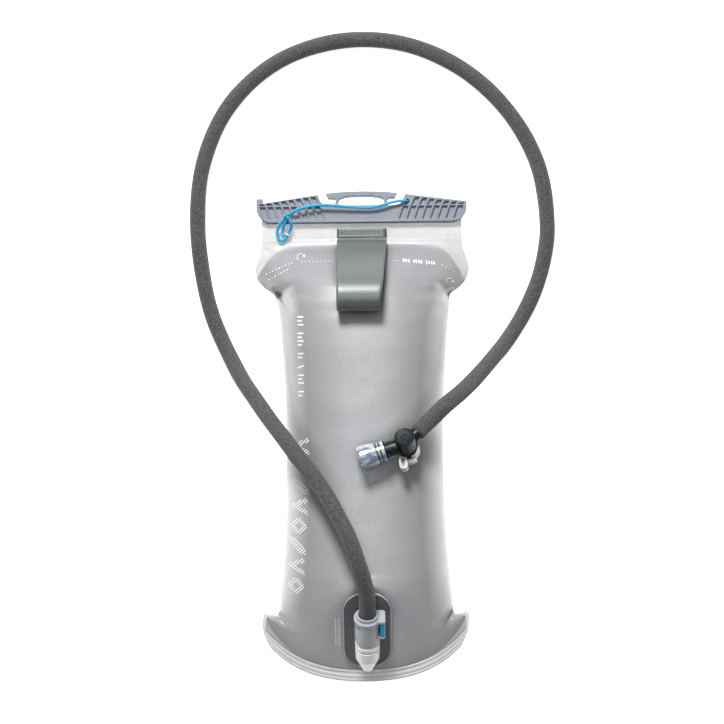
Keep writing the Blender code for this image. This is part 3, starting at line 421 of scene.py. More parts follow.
def smooth_path(route, count):
    """Centripetal spline through the route, read at even spacing."""
    pts = [Vector(p) for p in route]
    pts = [pts[0] * 2 - pts[1]] + pts + [pts[-1] * 2 - pts[-2]]
    fine = []
    for p0, p1, p2, p3 in zip(pts, pts[1:], pts[2:], pts[3:]):
        t1 = math.sqrt((p1 - p0).length)
        t2 = t1 + math.sqrt((p2 - p1).length)
        t3 = t2 + math.sqrt((p3 - p2).length)
        for k in range(SPLINE_STEPS):
            t = t1 + (t2 - t1) * k / SPLINE_STEPS
            a1 = p0 * ((t1 - t) / t1) + p1 * (t / t1)
            a2 = p1 * ((t2 - t) / (t2 - t1)) + p2 * ((t - t1) / (t2 - t1))
            a3 = p2 * ((t3 - t) / (t3 - t2)) + p3 * ((t - t2) / (t3 - t2))
            b1 = a1 * ((t2 - t) / t2) + a2 * (t / t2)
            b2 = a2 * ((t3 - t) / (t3 - t1)) + a3 * ((t - t1) / (t3 - t1))
            fine.append(b1 * ((t2 - t) / (t2 - t1)) + b2 * ((t - t1) / (t2 - t1)))
    fine.append(pts[-2].copy())
    run = [0.0]
    for a, b in zip(fine, fine[1:]):
        run.append(run[-1] + (b - a).length)
    out = []
    j = 0
    for k in range(count):
        want = run[-1] * k / (count - 1)
        while j < len(run) - 2 and run[j + 1] < want:
            j += 1
        span = max(run[j + 1] - run[j], 1e-9)
        out.append(fine[j].lerp(fine[j + 1], min(1.0, (want - run[j]) / span)))
    return out


def path_length(path):
    return sum((b - a).length for a, b in zip(path, path[1:]))


def bands(count, sides, first=0, closed=False):
    """Quads that join rings of vertices, each ring sides long."""
    faces = []
    for i in range(count if closed else count - 1):
        a, b = first + i * sides, first + (i + 1) % count * sides
        for k in range(sides):
            k2 = (k + 1) % sides
            faces.append((a + k, a + k2, b + k2, b + k))
    return faces


def tube(name, path, radius, sides, mat, closed=False):
    """Round tube along a path in millimetres; u runs once round it, v along it in metres.
    radius is a number, or a function of the share of the length."""
    size = radius if callable(radius) else (lambda share: radius)
    count = len(path)
    side = Vector((1.0, 0.13, 0.07))
    verts, runs = [], [0.0]
    for i, p in enumerate(path):
        if closed:
            ahead, behind = path[(i + 1) % count], path[i - 1]
        else:
            ahead, behind = path[min(i + 1, count - 1)], path[max(i - 1, 0)]
        tangent = (ahead - behind).normalized()
        side = (side - tangent * side.dot(tangent)).normalized()
        up = tangent.cross(side)
        r = size(i / (count - 1))
        for k in range(sides):
            ang = 2.0 * math.pi * k / sides
            verts.append(p + side * (r * math.cos(ang)) + up * (r * math.sin(ang)))
        if i:
            runs.append(runs[-1] + (p - path[i - 1]).length * MM)
    if closed:
        runs.append(runs[-1] + runs[1])
    faces, uvs = bands(count, sides, closed=closed), []
    for v0, v1 in zip(runs, runs[1:]):
        for k in range(sides):
            u0, u1 = k / sides, (k + 1) / sides
            uvs += [(u0, v0), (u1, v0), (u1, v1), (u0, v1)]
    if not closed:
        last = (count - 1) * sides
        faces += [tuple(range(sides - 1, -1, -1)), tuple(last + k for k in range(sides))]
        uvs += [(0.5, 0.0)] * sides + [(0.5, runs[-1])] * sides
    return add_mesh(name, verts, faces, mat, uvs=uvs)


def smoothstep(t):
    t = min(1.0, max(0.0, t))
    return t * t * (3.0 - 2.0 * t)


def bell(distance, width):
    return math.exp(-((distance / width) ** 2))


# -------------------- drinking hose
# Route of the hose in millimetres, from the coupler up over the bag, round the floor and back to
# the valve; the first three and last four points lie on the axes of the pieces it plugs onto.
HOSE_R = 6.1
HOSE_ROUTE = [
    (1.1, -130.54, 81.24),
    (1.1, -122.15, 86.69),
    (1.1, -113.77, 92.14),
    (-2.4, -97.0, 100.0),
    (-6.4, -84.2, 103.0),
    (-11.7, -69.1, 102.0),
    (-18.9, -55.1, 97.5),
    (-27.5, -40.1, 91.5),
    (-37.5, -25.9, 85.5),
    (-48.8, -12.0, 79.0),
    (-59.8, 1.8, 70.0),
    (-71.4, 15.7, 57.0),
    (-82.7, 30.3, 42.0),
    (-94.0, 45.5, 27.5),
    (-103.5, 61.9, 15.5),
    (-111.5, 77.8, 8.8),
    (-118.6, 95.3, 6.5),
    (-124.7, 119.9, 6.3),
    (-129.7, 167.4, 6.3),
    (-124.8, 215.6, 6.3),
    (-104.1, 260.9, 6.3),
    (-66.2, 295.2, 6.3),
    (-17.5, 311.5, 6.3),
    (33.4, 309.3, 6.3),
    (79.6, 289.4, 6.3),
    (115.9, 255.9, 6.3),
    (139.6, 212.9, 6.3),
    (146.7, 164.6, 6.3),
    (144.1, 140.3, 6.4),
    (137.5, 116.8, 6.7),
    (127.0, 94.7, 9.0),
    (113.0, 73.8, 17.0),
    (99.9, 59.4, 31.5),
    (85.2, 44.7, 49.5),
    (72.0, 33.6, 66.5),
]
HOSE_IN = Vector((0.7062, 0.6514, -0.2776))
HOSE_IN = (HOSE_IN - SPOOL_AXIS * HOSE_IN.dot(SPOOL_AXIS)).normalized()
HOSE_ROUTE += [VALVE + HOSE_IN * reach for reach in (41.0, 31.0, 21.0, 11.5)]


def make_hose():
    line = smooth_path(HOSE_ROUTE, 420)
    length = path_length(line)

    def swell(share):
        """Radius of the sleeve: slightly uneven, with a rolled lip at each end."""
        ends = min(share, 1.0 - share) * length
        lip = 0.22 * bell(ends - 1.2, 1.6) - 0.2 * bell(ends, 0.7)
        return HOSE_R + 0.07 * math.sin(share * 61.0) + 0.05 * math.sin(share * 143.0) + lip

    hose = tube("drink_hose", line, swell, 32, neoprene("neoprene_jersey"))
    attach(hose, "coupler")
    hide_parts("hose_sleeve", "drink_tube")


make_hose()

# -------------------- blue tether
CORD_R = 1.1
KNOT_CORD_R = 1.0        # the cord is squeezed in its knots
KNOT_STEPS = 72
TETHER_ROUTE = [
    (-54.3, 171.8, 43.4),
    (-49.3, 174.5, 44.0),
    (-43.1, 176.3, 44.5),
    (-34.3, 177.7, 44.5),
    (-26.3, 177.8, 44.5),
    (-17.9, 177.2, 44.0),
    (-8.8, 176.4, 43.5),
    (0.4, 175.8, 43.0),
    (7.3, 175.8, 43.0),
    (13.4, 176.8, 43.2),
    (18.7, 178.3, 43.4),
    (24.1, 179.8, 43.2),
    (29.5, 180.7, 42.9),
    (33.2, 180.8, 42.6),
    (34.6, 180.7, 41.3),
    (35.0, 180.7, 38.6),
    (35.0, 180.7, 34.0),
    (35.0, 180.7, 28.2),
]
LOOP_ROUTE = [
    (-55.0, 167.2, 43.6),
    (-54.0, 164.6, 42.9),
    (-54.1, 162.0, 41.2),
    (-55.4, 158.8, 39.2),
    (-57.0, 155.8, 38.4),
    (-58.8, 153.0, 38.3),
    (-61.2, 151.4, 38.4),
    (-63.4, 152.3, 38.6),
    (-64.8, 155.6, 39.2),
    (-64.6, 159.4, 40.4),
    (-63.0, 163.2, 42.2),
    (-60.9, 165.9, 43.2),
    (-59.6, 167.2, 43.8),
]
TAIL_ROUTE = [
    (-57.8, 166.8, 42.2),
    (-59.3, 164.0, 41.8),
    (-60.4, 160.4, 39.9),
    (-60.8, 157.0, 38.9),
    (-60.6, 154.4, 39.3),
]


def knot(name, centre, radii, mat):
    """Overhand knot: a trefoil of the cord, pulled down into its box."""
    wide, deep, tall = (r - KNOT_CORD_R for r in radii)
    line = []
    for k in range(KNOT_STEPS):
        t = 2.0 * math.pi * k / KNOT_STEPS
        line.append(Vector((
            centre[0] + wide / 3.0 * (math.sin(t) + 2.0 * math.sin(2.0 * t)),
            centre[1] + deep / 3.0 * (math.cos(t) - 2.0 * math.cos(2.0 * t)),
            centre[2] - tall * math.sin(3.0 * t),
        )))
    return tube(name, line, KNOT_CORD_R, 12, mat, closed=True)


def make_tether():
    """Cord across the closing bar, with its knotted loop and tail on the bag and a stopper knot
    behind the bar's hole."""
    blue = braid("cord_braid_blue", (0.012, 0.43, 0.80))
    line = smooth_path(TETHER_ROUTE, 150)
    strand = tube("tether_strand", line, CORD_R, 14, blue)
    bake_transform(strand)
    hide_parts("tether_cord")
    bight = tube("tether_bight", smooth_path(LOOP_ROUTE, 90), CORD_R, 14, blue)
    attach(bight, "reservoir")
    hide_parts("tether_loop")
    tail = tube(
        "tether_end", smooth_path(TAIL_ROUTE, 40),
        lambda share: CORD_R * (1.0 - 0.25 * smoothstep((share - 0.92) / 0.08)), 14, blue,
    )
    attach(tail, "reservoir")
    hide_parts("tether_tail")
    big = knot("tether_overhand", (-57.0, 169.6, 43.6), (3.3, 2.9, 2.4), blue)
    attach(big, "reservoir")
    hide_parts("tether_knot")
    back = knot("tether_back_knot", (35.0, 180.7, 25.9), (2.9, 2.9, 2.3), blue)
    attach(back, "slider")
    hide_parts("tether_stopper")


make_tether()

# -------------------- reservoir film
HALF_T = 0.8             # half the thickness of the flat, closed film
SHAPE_POWER = 2.25       # roundness of a filled section
HEM_K2 = 0.0028          # sweep of the hem: it rises with x*x
HEM_K4 = 3.98e-7         # and with x**4
PORT_X, PORT_Y, PORT_Z = 1.1, -150.0, 54.3
PORT_TILT = math.radians(33.0)
MOUTH_Y = 176.0
HEM_END = -188.6
HEM_WIDE = 9.4           # clear welded band along the bottom
HEM_SIDE = 2.4           # and up the sides of its two flaps
HEM_LINES = (0.3, 3.1, 6.3, 9.2)
WELD_TINT = 0.9
FAR = 99.0               # further than any edge is
FLOOR_GAP = 0.05         # least height of the film's underside
PATCH_HALF = (22.4, 7.6)     # welded patch under the hang loop's tail
PATCH_Y = 155.0
SIDE_WELD_X = 66.5
TOP_WELD_Y = 151.2

# Film sections in millimetres: station, half width of the flat edges, half width of the filled
# part, rise above the seam plane, drop below it, and the edge power.
SECTIONS = [
    (176.0, 77.0, 76.0, 1.1, 1.1, 0.44),
    (165.0, 77.0, 76.0, 1.1, 1.1, 0.44),
    (152.0, 77.0, 76.0, 1.2, 1.2, 0.5),
    (148.0, 77.0, 76.4, 2.4, 2.0, 0.8),
    (144.0, 77.8, 77.2, 5.6, 4.8, 0.95),
    (138.0, 80.4, 79.8, 12.6, 11.4, 1.0),
    (130.0, 82.8, 82.0, 20.8, 19.0, 1.0),
    (121.0, 80.6, 79.8, 28.4, 25.6, 0.92),
    (115.0, 75.0, 74.2, 32.2, 29.0, 0.78),
    (110.0, 67.2, 66.8, 34.4, 30.6, 0.62),
    (104.0, 66.2, 66.0, 36.6, 32.4, 0.5),
    (90.0, 64.8, 64.6, 39.8, 34.0, 0.47),
    (70.0, 63.2, 63.0, 41.6, 35.0, 0.45),
    (45.0, 61.4, 61.2, 42.0, 35.2, 0.44),
    (15.0, 60.3, 60.1, 42.0, 35.2, 0.44),
    (-20.0, 60.1, 59.9, 42.0, 35.2, 0.44),
    (-50.0, 60.6, 60.4, 42.0, 35.2, 0.44),
    (-80.0, 62.4, 62.2, 42.4, 35.0, 0.45),
    (-105.0, 64.4, 64.2, 42.4, 34.6, 0.47),
    (-120.0, 65.6, 65.4, 40.4, 33.6, 0.48),
    (-130.0, 66.2, 66.0, 37.2, 32.0, 0.5),
    (-139.0, 66.6, 66.4, 32.6, 29.0, 0.53),
    (-147.0, 67.0, 66.6, 27.6, 25.0, 0.56),
    (-153.0, 68.6, 67.6, 23.6, 21.2, 0.68),
    (-158.0, 73.6, 72.4, 20.0, 17.8, 0.85),
    (-163.0, 78.0, 76.6, 16.0, 14.2, 0.95),
    (-168.0, 79.2, 77.0, 11.6, 10.4, 1.0),
    (-173.0, 79.6, 72.0, 7.2, 6.4, 1.0),
    (-177.0, 79.6, 62.0, 3.9, 3.4, 1.0),
    (-180.0, 79.4, 48.0, 1.7, 1.4, 1.0),
    (-184.0, 78.6, 20.0, 0.9, 0.9, 0.8),
    (-188.6, 73.6, 20.0, 0.8, 0.8, 0.8),
]
# Pitch of the film's rows above each station, and below the last of them.
ROW_PITCH = ((153.5, 1.5), (100.0, 1.1), (-125.0, 2.5), (-172.0, 1.1))
LAST_PITCH = 0.55
# Folds pinched in where the wide flat ends turn into the round body: outer end, inner end,
# depth and width, in millimetres.
FOLDS = [
    ((-65.0, 109.0), (-47.0, 122.0), 4.6, 3.4),
    ((-62.0, 108.0), (-52.0, 92.0), 5.0, 4.0),
    ((67.5, 109.5), (52.0, 122.0), 4.2, 3.4),
    ((66.0, 107.0), (56.0, 90.0), 4.5, 4.0),
    ((-67.5, -134.0), (-54.5, -148.5), 6.0, 3.2),
    ((67.5, -133.0), (55.0, -147.0), 5.5, 3.2),
    ((79.0, 150.0), (62.0, 136.0), 2.5, 2.4),
    ((-79.0, 148.0), (-60.0, 135.0), 2.0, 2.4),
]


@functools.lru_cache(maxsize=None)
def section_at(station):
    """The table read smoothly at any station."""
    table = np.array(SECTIONS)[::-1]
    near = np.linspace(station - 2.4, station + 2.4, 7)
    weight = np.exp(-(((near - station) / 1.5) ** 2))
    weight /= weight.sum()
    near = np.clip(near, table[0, 0], table[-1, 0])
    return [float(np.interp(near, table[:, 0], table[:, k]) @ weight) for k in range(1, 6)]


def hem_sweep(station, x):
    """How far a point of a station is carried toward the mouth by the curved hem."""
    grow = smoothstep((-100.0 - station) / 80.0)
    return grow * (HEM_K2 * x * x + HEM_K4 * x**4)


def plate_weight(x, y):
    """One on the flat that carries the port's plate, fading to zero round it."""
    along = (y - PORT_Y) / math.cos(PORT_TILT)
    beyond = max(0.0, abs(along - 3.0) - 22.0)
    return 1.0 - smoothstep((math.hypot(beyond, x - PORT_X) - 22.0) / 13.0)


def fold_at(x, y):
    """How far the film is drawn in by the folds."""
    total = 0.0
    for (x0, y0), (x1, y1), depth, width in FOLDS:
        run = Vector((x1 - x0, y1 - y0))
        t = (Vector((x - x0, y - y0)).dot(run)) / run.length_squared
        t_on = min(1.0, max(-0.3, t))
        away = math.hypot(x - x0 - run.x * t_on, y - y0 - run.y * t_on)
        total += depth * (1.0 - max(0.0, t_on)) ** 1.3 * bell(away, width * (0.7 + 0.5 * t_on))
    return total


def weld_lines(x, y):
    """Raised weld lines of the clear band, in millimetres."""
    high = 0.0
    if y > TOP_WELD_Y - 2.2:
        high += 0.22 * bell(abs(x) - SIDE_WELD_X, 0.7)
        high += 0.22 * bell(y - TOP_WELD_Y, 0.8)
    patch = max(abs(x) - PATCH_HALF[0], abs(y - PATCH_Y) - PATCH_HALF[1])
    return high + 0.3 * bell(patch, 0.7)


def hem_profile(inward):
    """Ridges of the welded hem by distance from its outer edge, in millimetres."""
    ridges = 0.55 * bell(inward - 1.7, 0.75) + 0.6 * bell(inward - 4.6, 1.3)
    ridges += 0.75 * bell(inward - 7.9, 0.7) - 0.5 * bell(inward - 9.4, 0.6)
    return ridges - 0.3 * bell(inward, 0.5)


def crumple(x, y, z):
    """Soft irregular film, strongest where the ends are gathered."""
    ends = smoothstep((abs(y + 14.0) - 95.0) / 40.0) * smoothstep((163.0 - y) / 15.0)
    edge = smoothstep((abs(x) - 25.0) / 35.0)
    p = Vector((x / 26.0, y / 17.0, z / 40.0))
    fine = noise.noise(p * 2.1 + Vector((3.1, 7.7, 1.3)))
    return (0.35 + 0.9 * ends * edge) * noise.noise(p) + 0.5 * ends * edge * fine


def body_lean(y):
    """The round body sits slightly to the right of the flat ends."""
    return 0.8 * smoothstep((112.0 - y) / 12.0) * smoothstep((y + 150.0) / 20.0)


def film_point(station, share, upper):
    """A point of the film, with how far it lies inside the hem and its share of weld tint.
    share runs from -1 to 1 across the film."""
    flat, full, rise, drop, power = section_at(station)
    x = flat * share
    along = max(0.0, 1.0 - min(1.0, abs(x) / full) ** SHAPE_POWER) ** power
    y = station + hem_sweep(station, x)
    fill = smoothstep((along * rise - 0.5) / 6.0)
    if upper:
        high = HALF_T + max(0.0, rise - HALF_T) * along
        z = SEAM_Z + high
        if station < -90.0:
            weight = plate_weight(x, y)
            plane = PORT_Z + (y - PORT_Y) * math.tan(PORT_TILT)
            z = max(z + (plane - z) * weight, SEAM_Z + HALF_T)
            fill *= 1.0 - weight
    else:
        high = HALF_T + max(0.0, drop - HALF_T) * along
        z = SEAM_Z - high
    sign = 1.0 if upper else -1.0
    z -= sign * min(fold_at(x, y) * smoothstep((high + 1.0) / 9.0), high * 0.85)
    z += sign * crumple(x, y, z) * fill * (1.0 if upper else 0.4)
    inward = station - HEM_END
    beside = flat - abs(x) if station < -150.0 else FAR
    z += sign * (weld_lines(x, y) + hem_profile(inward) * smoothstep(beside / 4.0))
    if not upper:
        z = max(z, FLOOR_GAP)
    hem = min(inward - HEM_WIDE, beside - HEM_SIDE)
    seam = max(weld_lines(x, y) * WELD_TINT, *(bell(inward - line, 0.5) for line in HEM_LINES))
    return x + body_lean(y) * (1.0 - 0.3 * share * share), y, z, hem, seam


def print_edge(x, y):
    """Millimetres inside the grey print, whose upper edge drops away at both ears."""
    past = max(0.0, abs(x) - 50.0)
    slope = 0.0150 if x > 0 else 0.0112
    return 148.0 - slope * past**2.25 - y


def film_stations():
    """Rows of the film from the mouth to the hem, closer together where it is gathered."""
    stations = []
    y = MOUTH_Y
    while y > HEM_END:
        stations.append(y)
        y -= next((pitch for above, pitch in ROW_PITCH if y > above), LAST_PITCH)
    return stations + [HEM_END]


def make_film(across=84):
    """Closed skin of the bag: each row runs over the top and back along the underside."""
    shares = [math.cos(math.pi * j / across) for j in range(across + 1)]
    stations = film_stations()
    verts, edge, hem, seam = [], [], [], []
    for station in stations:
        top = [film_point(station, s, True) for s in shares]
        low = [film_point(station, s, False) for s in shares]
        for x, y, z, to_hem, weld in top + low[::-1]:
            verts.append((x, y, z))
            edge.append(print_edge(x, y))
            hem.append(to_hem)
            seam.append(weld)
    ring = 2 * (across + 1)
    faces = [face[::-1] for face in bands(len(stations), ring)]
    last = (len(stations) - 1) * ring
    for k in range(across):
        faces.append((k, k + 1, ring - 2 - k, ring - 1 - k))
        faces.append((last + k + 1, last + k, last + ring - 1 - k, last + ring - 2 - k))
    film = add_mesh("film_skin", verts, faces, film_look("film_satin"),
                    attributes={"print_edge": edge, "hem": hem, "seam": seam})
    smoothing = film.modifiers.new("smoothing", "SUBSURF")
    smoothing.levels = smoothing.render_levels = 1
    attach(film, "reservoir")
    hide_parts("reservoir_film")


make_film()


def film_height(x, y):
    """Top of the film under a point of the filled body, in millimetres."""
    station = y
    for _ in range(6):
        station = y - hem_sweep(station, x)
    flat = section_at(station)[0]
    return film_point(station, (x - body_lean(y)) / flat, True)[2]


# -------------------- printed marks
DOT_PITCH = 2.9
DOT_R = 0.42
FILL_LINE_Y = 134.6
HATCH_PITCH = 2.5        # between the strokes of a hatched shape
HATCH_WIDTH = 0.85
HATCH_STEP = 0.3
SHAPE_SIDE = 12.4        # of a hatched shape's box
SHAPE_PITCH = 15.0
SCALE_LEFT = -49.0


class Print:
    """Thin closed ink shapes draped on the film, gathered for one mesh."""

    def __init__(self):
        self.verts, self.faces = [], []

    def plate(self, outline):
        """A shape with the given corners; thicker measured straight up where the film is steep."""
        base = len(self.verts)
        n = len(outline)
        thick = 0.13 + min(0.35, 0.03 * max(0.0, abs(outline[0][0]) - 44.0))
        heights = [film_height(x, y) for x, y in outline]
        for side in (thick, -thick):
            self.verts += [(x, y, z + side) for (x, y), z in zip(outline, heights)]
        self.faces.append(tuple(base + k for k in range(n)))
        self.faces.append(tuple(base + n + k for k in range(n - 1, -1, -1)))
        for k in range(n):
            k2 = (k + 1) % n
            self.faces.append((base + k2, base + k, base + n + k, base + n + k2))

    def dot(self, x, y):
        angles = [2.0 * math.pi * j / 8 for j in range(8)]
        self.plate([(x + DOT_R * math.cos(a), y + DOT_R * math.sin(a)) for a in angles])

    def stroke(self, points, width):
        """Short straight pieces along a line, so that the print follows the film."""
        pts = [Vector(p) for p in points]
        for a, b in zip(pts, pts[1:]):
            steps = max(1, round((b - a).length / 1.2))
            side = Vector((-(b - a).y, (b - a).x)).normalized() * (width / 2.0)
            for k in range(steps):
                p, q = a.lerp(b, k / steps), a.lerp(b, (k + 1) / steps)
                self.plate([tuple(c) for c in (p + side, p - side, q - side, q + side)])

    def arrow(self, centre, radius, start, end, steps=10):
        """Small curved arrow, its angles in degrees."""
        ring = []
        for k in range(steps + 1):
            ang = math.radians(start + (end - start) * k / steps)
            ring.append((centre[0] + radius * math.cos(ang), centre[1] + radius * math.sin(ang)))
        self.stroke(ring, 0.5)
        tip, before = Vector(ring[-1]), Vector(ring[-2])
        ahead = (tip - before).normalized()
        side = Vector((-ahead.y, ahead.x)) * 1.2
        self.plate([tuple(c) for c in (tip + side, tip - side, tip + ahead * 2.0)])

    def hatched(self, left, top, inside):
        """Slanted strokes that fill a shape, given by a test on shares across and down its box."""
        reach = HATCH_PITCH / 2.0
        while reach < 2.0 * SHAPE_SIDE:
            run = []
            for k in range(int(min(reach, SHAPE_SIDE) / HATCH_STEP) + 1):
                across, down = k * HATCH_STEP, reach - k * HATCH_STEP
                in_box = 0.0 <= down <= SHAPE_SIDE
                if in_box and inside(across / SHAPE_SIDE, down / SHAPE_SIDE):
                    run.append((left + across, top - down))
                else:
                    self.hatch(run)
                    run = []
            self.hatch(run)
            reach += HATCH_PITCH

    def hatch(self, run):
        if len(run) > 3:
            self.stroke([run[0], run[-1]], HATCH_WIDTH)


def in_slash(u, v):
    return abs(u - v) < 0.36


def in_diamond(u, v):
    return 0.2 < abs(u - 0.5) + abs(v - 0.5) < 0.62


def in_chevron(u, v):
    return -0.25 < u - 1.1 * abs(2.0 * v - 1.0) < 0.42


def fill_line(ink_on):
    """A row of dots that dips at the right ear, with gaps for the strap and the bars."""
    for k in range(43):
        x = -46.0 + DOT_PITCH * k
        if not (-21.0 < x < 21.0 or 29.0 < x < 60.0 or x > 76.0):
            ink_on.dot(x, FILL_LINE_Y - 0.6 * max(0.0, x - 56.0))


def label_bars(ink_on):
    """Short upright bars by the fill line, where such bags are labelled; a zero is a gap."""
    for k, tall in enumerate((3.0, 2.2, 3.0, 0.0, 2.4, 3.0, 2.4, 3.0, 0.0, 3.0, 2.2, 3.0, 2.4)):
        x = 31.6 + 1.95 * k
        y = 135.0 - 0.10 * (x - 31.0)
        if tall:
            ink_on.stroke([(x, y - tall / 2.0), (x, y + tall / 2.0)], 1.2)


def ear_dashes(ink_on):
    """Two slanted lines of small dashes on the left ear."""
    lines = (((-74.0, 125.6), (-52.0, 134.6), 9), ((-72.0, 121.0), (-55.5, 129.2), 7))
    for start, end, count in lines:
        start, end = Vector(start), Vector(end)
        for k in range(count):
            a, b = (k + 0.1 + 0.12 * (k % 2)) / count, (k + 0.56) / count
            ink_on.stroke([start.lerp(end, a), start.lerp(end, b)], 0.8)


def volume_scale(ink_on):
    """Bold ticks in groups, and a slanted one where a group is empty."""
    y = 92.0
    for group in (3, 4, 2, 0, 3, 2):
        for k in range(group):
            wide = 4.6 if k % 2 == 0 else 3.4
            ink_on.stroke([(SCALE_LEFT, y), (SCALE_LEFT + wide, y)], 1.25)
            y -= 2.9
        if not group:
            ink_on.stroke([(SCALE_LEFT, y - 1.5), (SCALE_LEFT + 4.6, y + 0.6)], 1.1)
            y -= 3.2
        y -= 3.6


def shape_column(ink_on):
    """A column of hatched shapes down the left side."""
    shapes = (in_chevron, in_diamond, in_slash)
    for block in range(8):
        top = 1.4 - SHAPE_PITCH * block
        left = -53.2 - 5.4 * smoothstep(-top / 120.0)
        ink_on.hatched(left, top, shapes[block % len(shapes)])


def port_columns(ink_on):
    """Two fine columns of dashes beside the port."""
    for x in (-22.8, -20.2):
        for k in range(12):
            y = -134.5 - 1.95 * k
            ink_on.stroke([(x, y), (x, y - 1.25)], 1.0)


def make_marks():
    ink_on = Print()
    fill_line(ink_on)
    label_bars(ink_on)
    ink_on.arrow((-47.0, 138.6), 2.6, 250.0, 30.0)
    ink_on.arrow((66.5, 118.6), 2.4, 200.0, 20.0)
    ear_dashes(ink_on)
    volume_scale(ink_on)
    shape_column(ink_on)
    port_columns(ink_on)
    marks = add_mesh("film_marks", ink_on.verts, ink_on.faces, ink("screen_print"), smooth=False)
    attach(marks, "reservoir")


make_marks()

# -------------------- webbing hang loop
STRAP_T = 1.4
STRAP_LEFT = -19.1
STRAP_RIGHT = 19.1
STRAP_RIGHT_FOLD = 12.8  # right edge at the fold, which leans to the left
LAYER = 1.45             # from one layer of the stitched tail to the next
TAIL_START = 153.5
TAIL_LENGTH = 6.7
STITCH_PITCH = 2.6
STITCH_ROWS = (155.0, 159.4)
STITCH_R = 0.26
STITCH_RINGS = 7
STITCH_SIDES = 6
STRAP_ROUTE = [
    (150.9, 37.2),
    (147.6, 39.8),
    (144.0, 43.6),
    (138.0, 50.4),
    (130.0, 58.4),
    (121.0, 65.6),
    (112.0, 71.2),
    (104.0, 75.2),
    (99.6, 77.8),
    (96.8, 81.2),
    (96.0, 84.6),
    (97.9, 87.9),
    (102.4, 90.2),
    (109.0, 90.2),
    (116.8, 86.6),
    (125.4, 78.6),
    (133.2, 69.0),
    (140.0, 58.0),
    (145.4, 48.6),
    (148.8, 42.2),
    (150.9, 39.6),
]


def strap_right(y):
    """Right edge of the free loop, which narrows towards its fold."""
    t = min(1.0, max(0.0, (150.0 - y) / 53.0))
    return STRAP_RIGHT + (STRAP_RIGHT_FOLD - STRAP_RIGHT) * t


def woven_strip(name, line, right_at, mat, columns=20):
    """Strap along a (y, z) line: rounded selvedges, UVs in millimetres."""
    over = [(k / columns, 1.0) for k in range(columns + 1)]
    profile = over + [(share, -1.0) for share, _ in reversed(over)]
    n = len(profile)
    verts, run = [], [0.0]
    for i, p in enumerate(line):
        ahead = line[min(i + 1, len(line) - 1)]
        behind = line[max(i - 1, 0)]
        t = (ahead - behind).normalized()
        up = Vector((0.0, -t.z, t.y))
        right = right_at(p.y)
        for share, side in profile:
            lip = 1.0 - 0.45 * bell(min(share, 1.0 - share), 0.02)
            ripple = 0.06 * math.sin(run[-1] * 2.1 + share * 9.0) * bell(min(share, 1 - share), 0.05)
            q = p + up * (side * STRAP_T / 2.0 * lip + ripple)
            verts.append((STRAP_LEFT + (right - STRAP_LEFT) * share, q.y, q.z))
        if i + 1 < len(line):
            run.append(run[-1] + (line[i + 1] - p).length)
    faces, uvs = bands(len(line), n), []
    across = [share * (STRAP_RIGHT - STRAP_LEFT) for share, _ in profile]
    for v0, v1 in zip(run, run[1:]):
        for u0, u1 in zip(across, across[1:] + across[:1]):
            uvs += [(u0, v0), (u1, v0), (u1, v1), (u0, v1)]
    last = (len(line) - 1) * n
    for k in range(columns):
        faces.append((k + 1, k, n - 1 - k, n - 2 - k))
        faces.append((last + k, last + k + 1, last + n - 2 - k, last + n - 1 - k))
        u0, u1 = across[k], across[k + 1]
        uvs += [(u1, 0.0), (u0, 0.0), (u0, STRAP_T), (u1, STRAP_T)]
        uvs += [(u0, 0.0), (u1, 0.0), (u1, STRAP_T), (u0, STRAP_T)]
    return add_mesh(name, verts, faces, mat, uvs=uvs)


def stitches(name, rows, mat, body):
    """Rows of lock stitches, each a short plump thread; a row is its two ends in millimetres."""
    verts, faces = [], []
    up = Vector((0.0, 0.0, 1.0))
    for start, end in rows:
        a, b = Vector(start), Vector(end)
        along = (b - a).normalized()
        side = up.cross(along)
        for k in range(int((b - a).length / STITCH_PITCH)):
            mid = a + along * (STITCH_PITCH * (k + 0.5))
            base = len(verts)
            for ring in range(STITCH_RINGS):
                t = ring / (STITCH_RINGS - 1) * 2.0 - 1.0
                r = STITCH_R * math.sqrt(max(0.02, 1.0 - abs(t) ** 3))
                c = mid + along * (t * STITCH_PITCH * 0.44) + up * (0.16 * (1.0 - t * t))
                for j in range(STITCH_SIDES):
                    ang = 2.0 * math.pi * j / STITCH_SIDES
                    verts.append(c + side * (r * math.cos(ang)) + up * (r * math.sin(ang)))
            faces += bands(STITCH_RINGS, STITCH_SIDES, base)
            last = base + STITCH_SIDES * (STITCH_RINGS - 1)
            faces.append(tuple(base + j for j in range(STITCH_SIDES - 1, -1, -1)))
            faces.append(tuple(last + j for j in range(STITCH_SIDES)))
    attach(add_mesh(name, verts, faces, mat), body)


def make_strap():
    """The free loop, and its two stitched ends pressed flat on the film."""
    line = smooth_path([(0.0, y, z) for y, z in STRAP_ROUTE], 150)
    loop = woven_strip("loop_webbing", line, strap_right, webbing("webbing_twill", 0.86))
    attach(loop, "hang_loop")
    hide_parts("hang_loop")
    low = SEAM_Z + 2.2
    pressed = webbing("webbing_pressed", 0.76)
    tail = [Vector((0.0, TAIL_START + TAIL_LENGTH * k / 20, low)) for k in range(21)]
    under = woven_strip("tail_webbing_lower", tail, lambda y: STRAP_RIGHT, pressed)
    raised = [Vector((0.0, p.y, p.z + LAYER)) for p in tail]
    upper = woven_strip("tail_webbing_upper", raised, lambda y: STRAP_RIGHT, pressed)
    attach(under, "reservoir")
    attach(upper, "reservoir")
    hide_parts("hang_loop_tail")
    top = low + LAYER + STRAP_T / 2
    rows = [((-18.0, y, top), (18.0, y, top)) for y in STITCH_ROWS]
    thread = thread_look("stitch_thread", (0.66, 0.68, 0.67))
    stitches("tail_stitching", rows, thread, "reservoir")


make_strap()

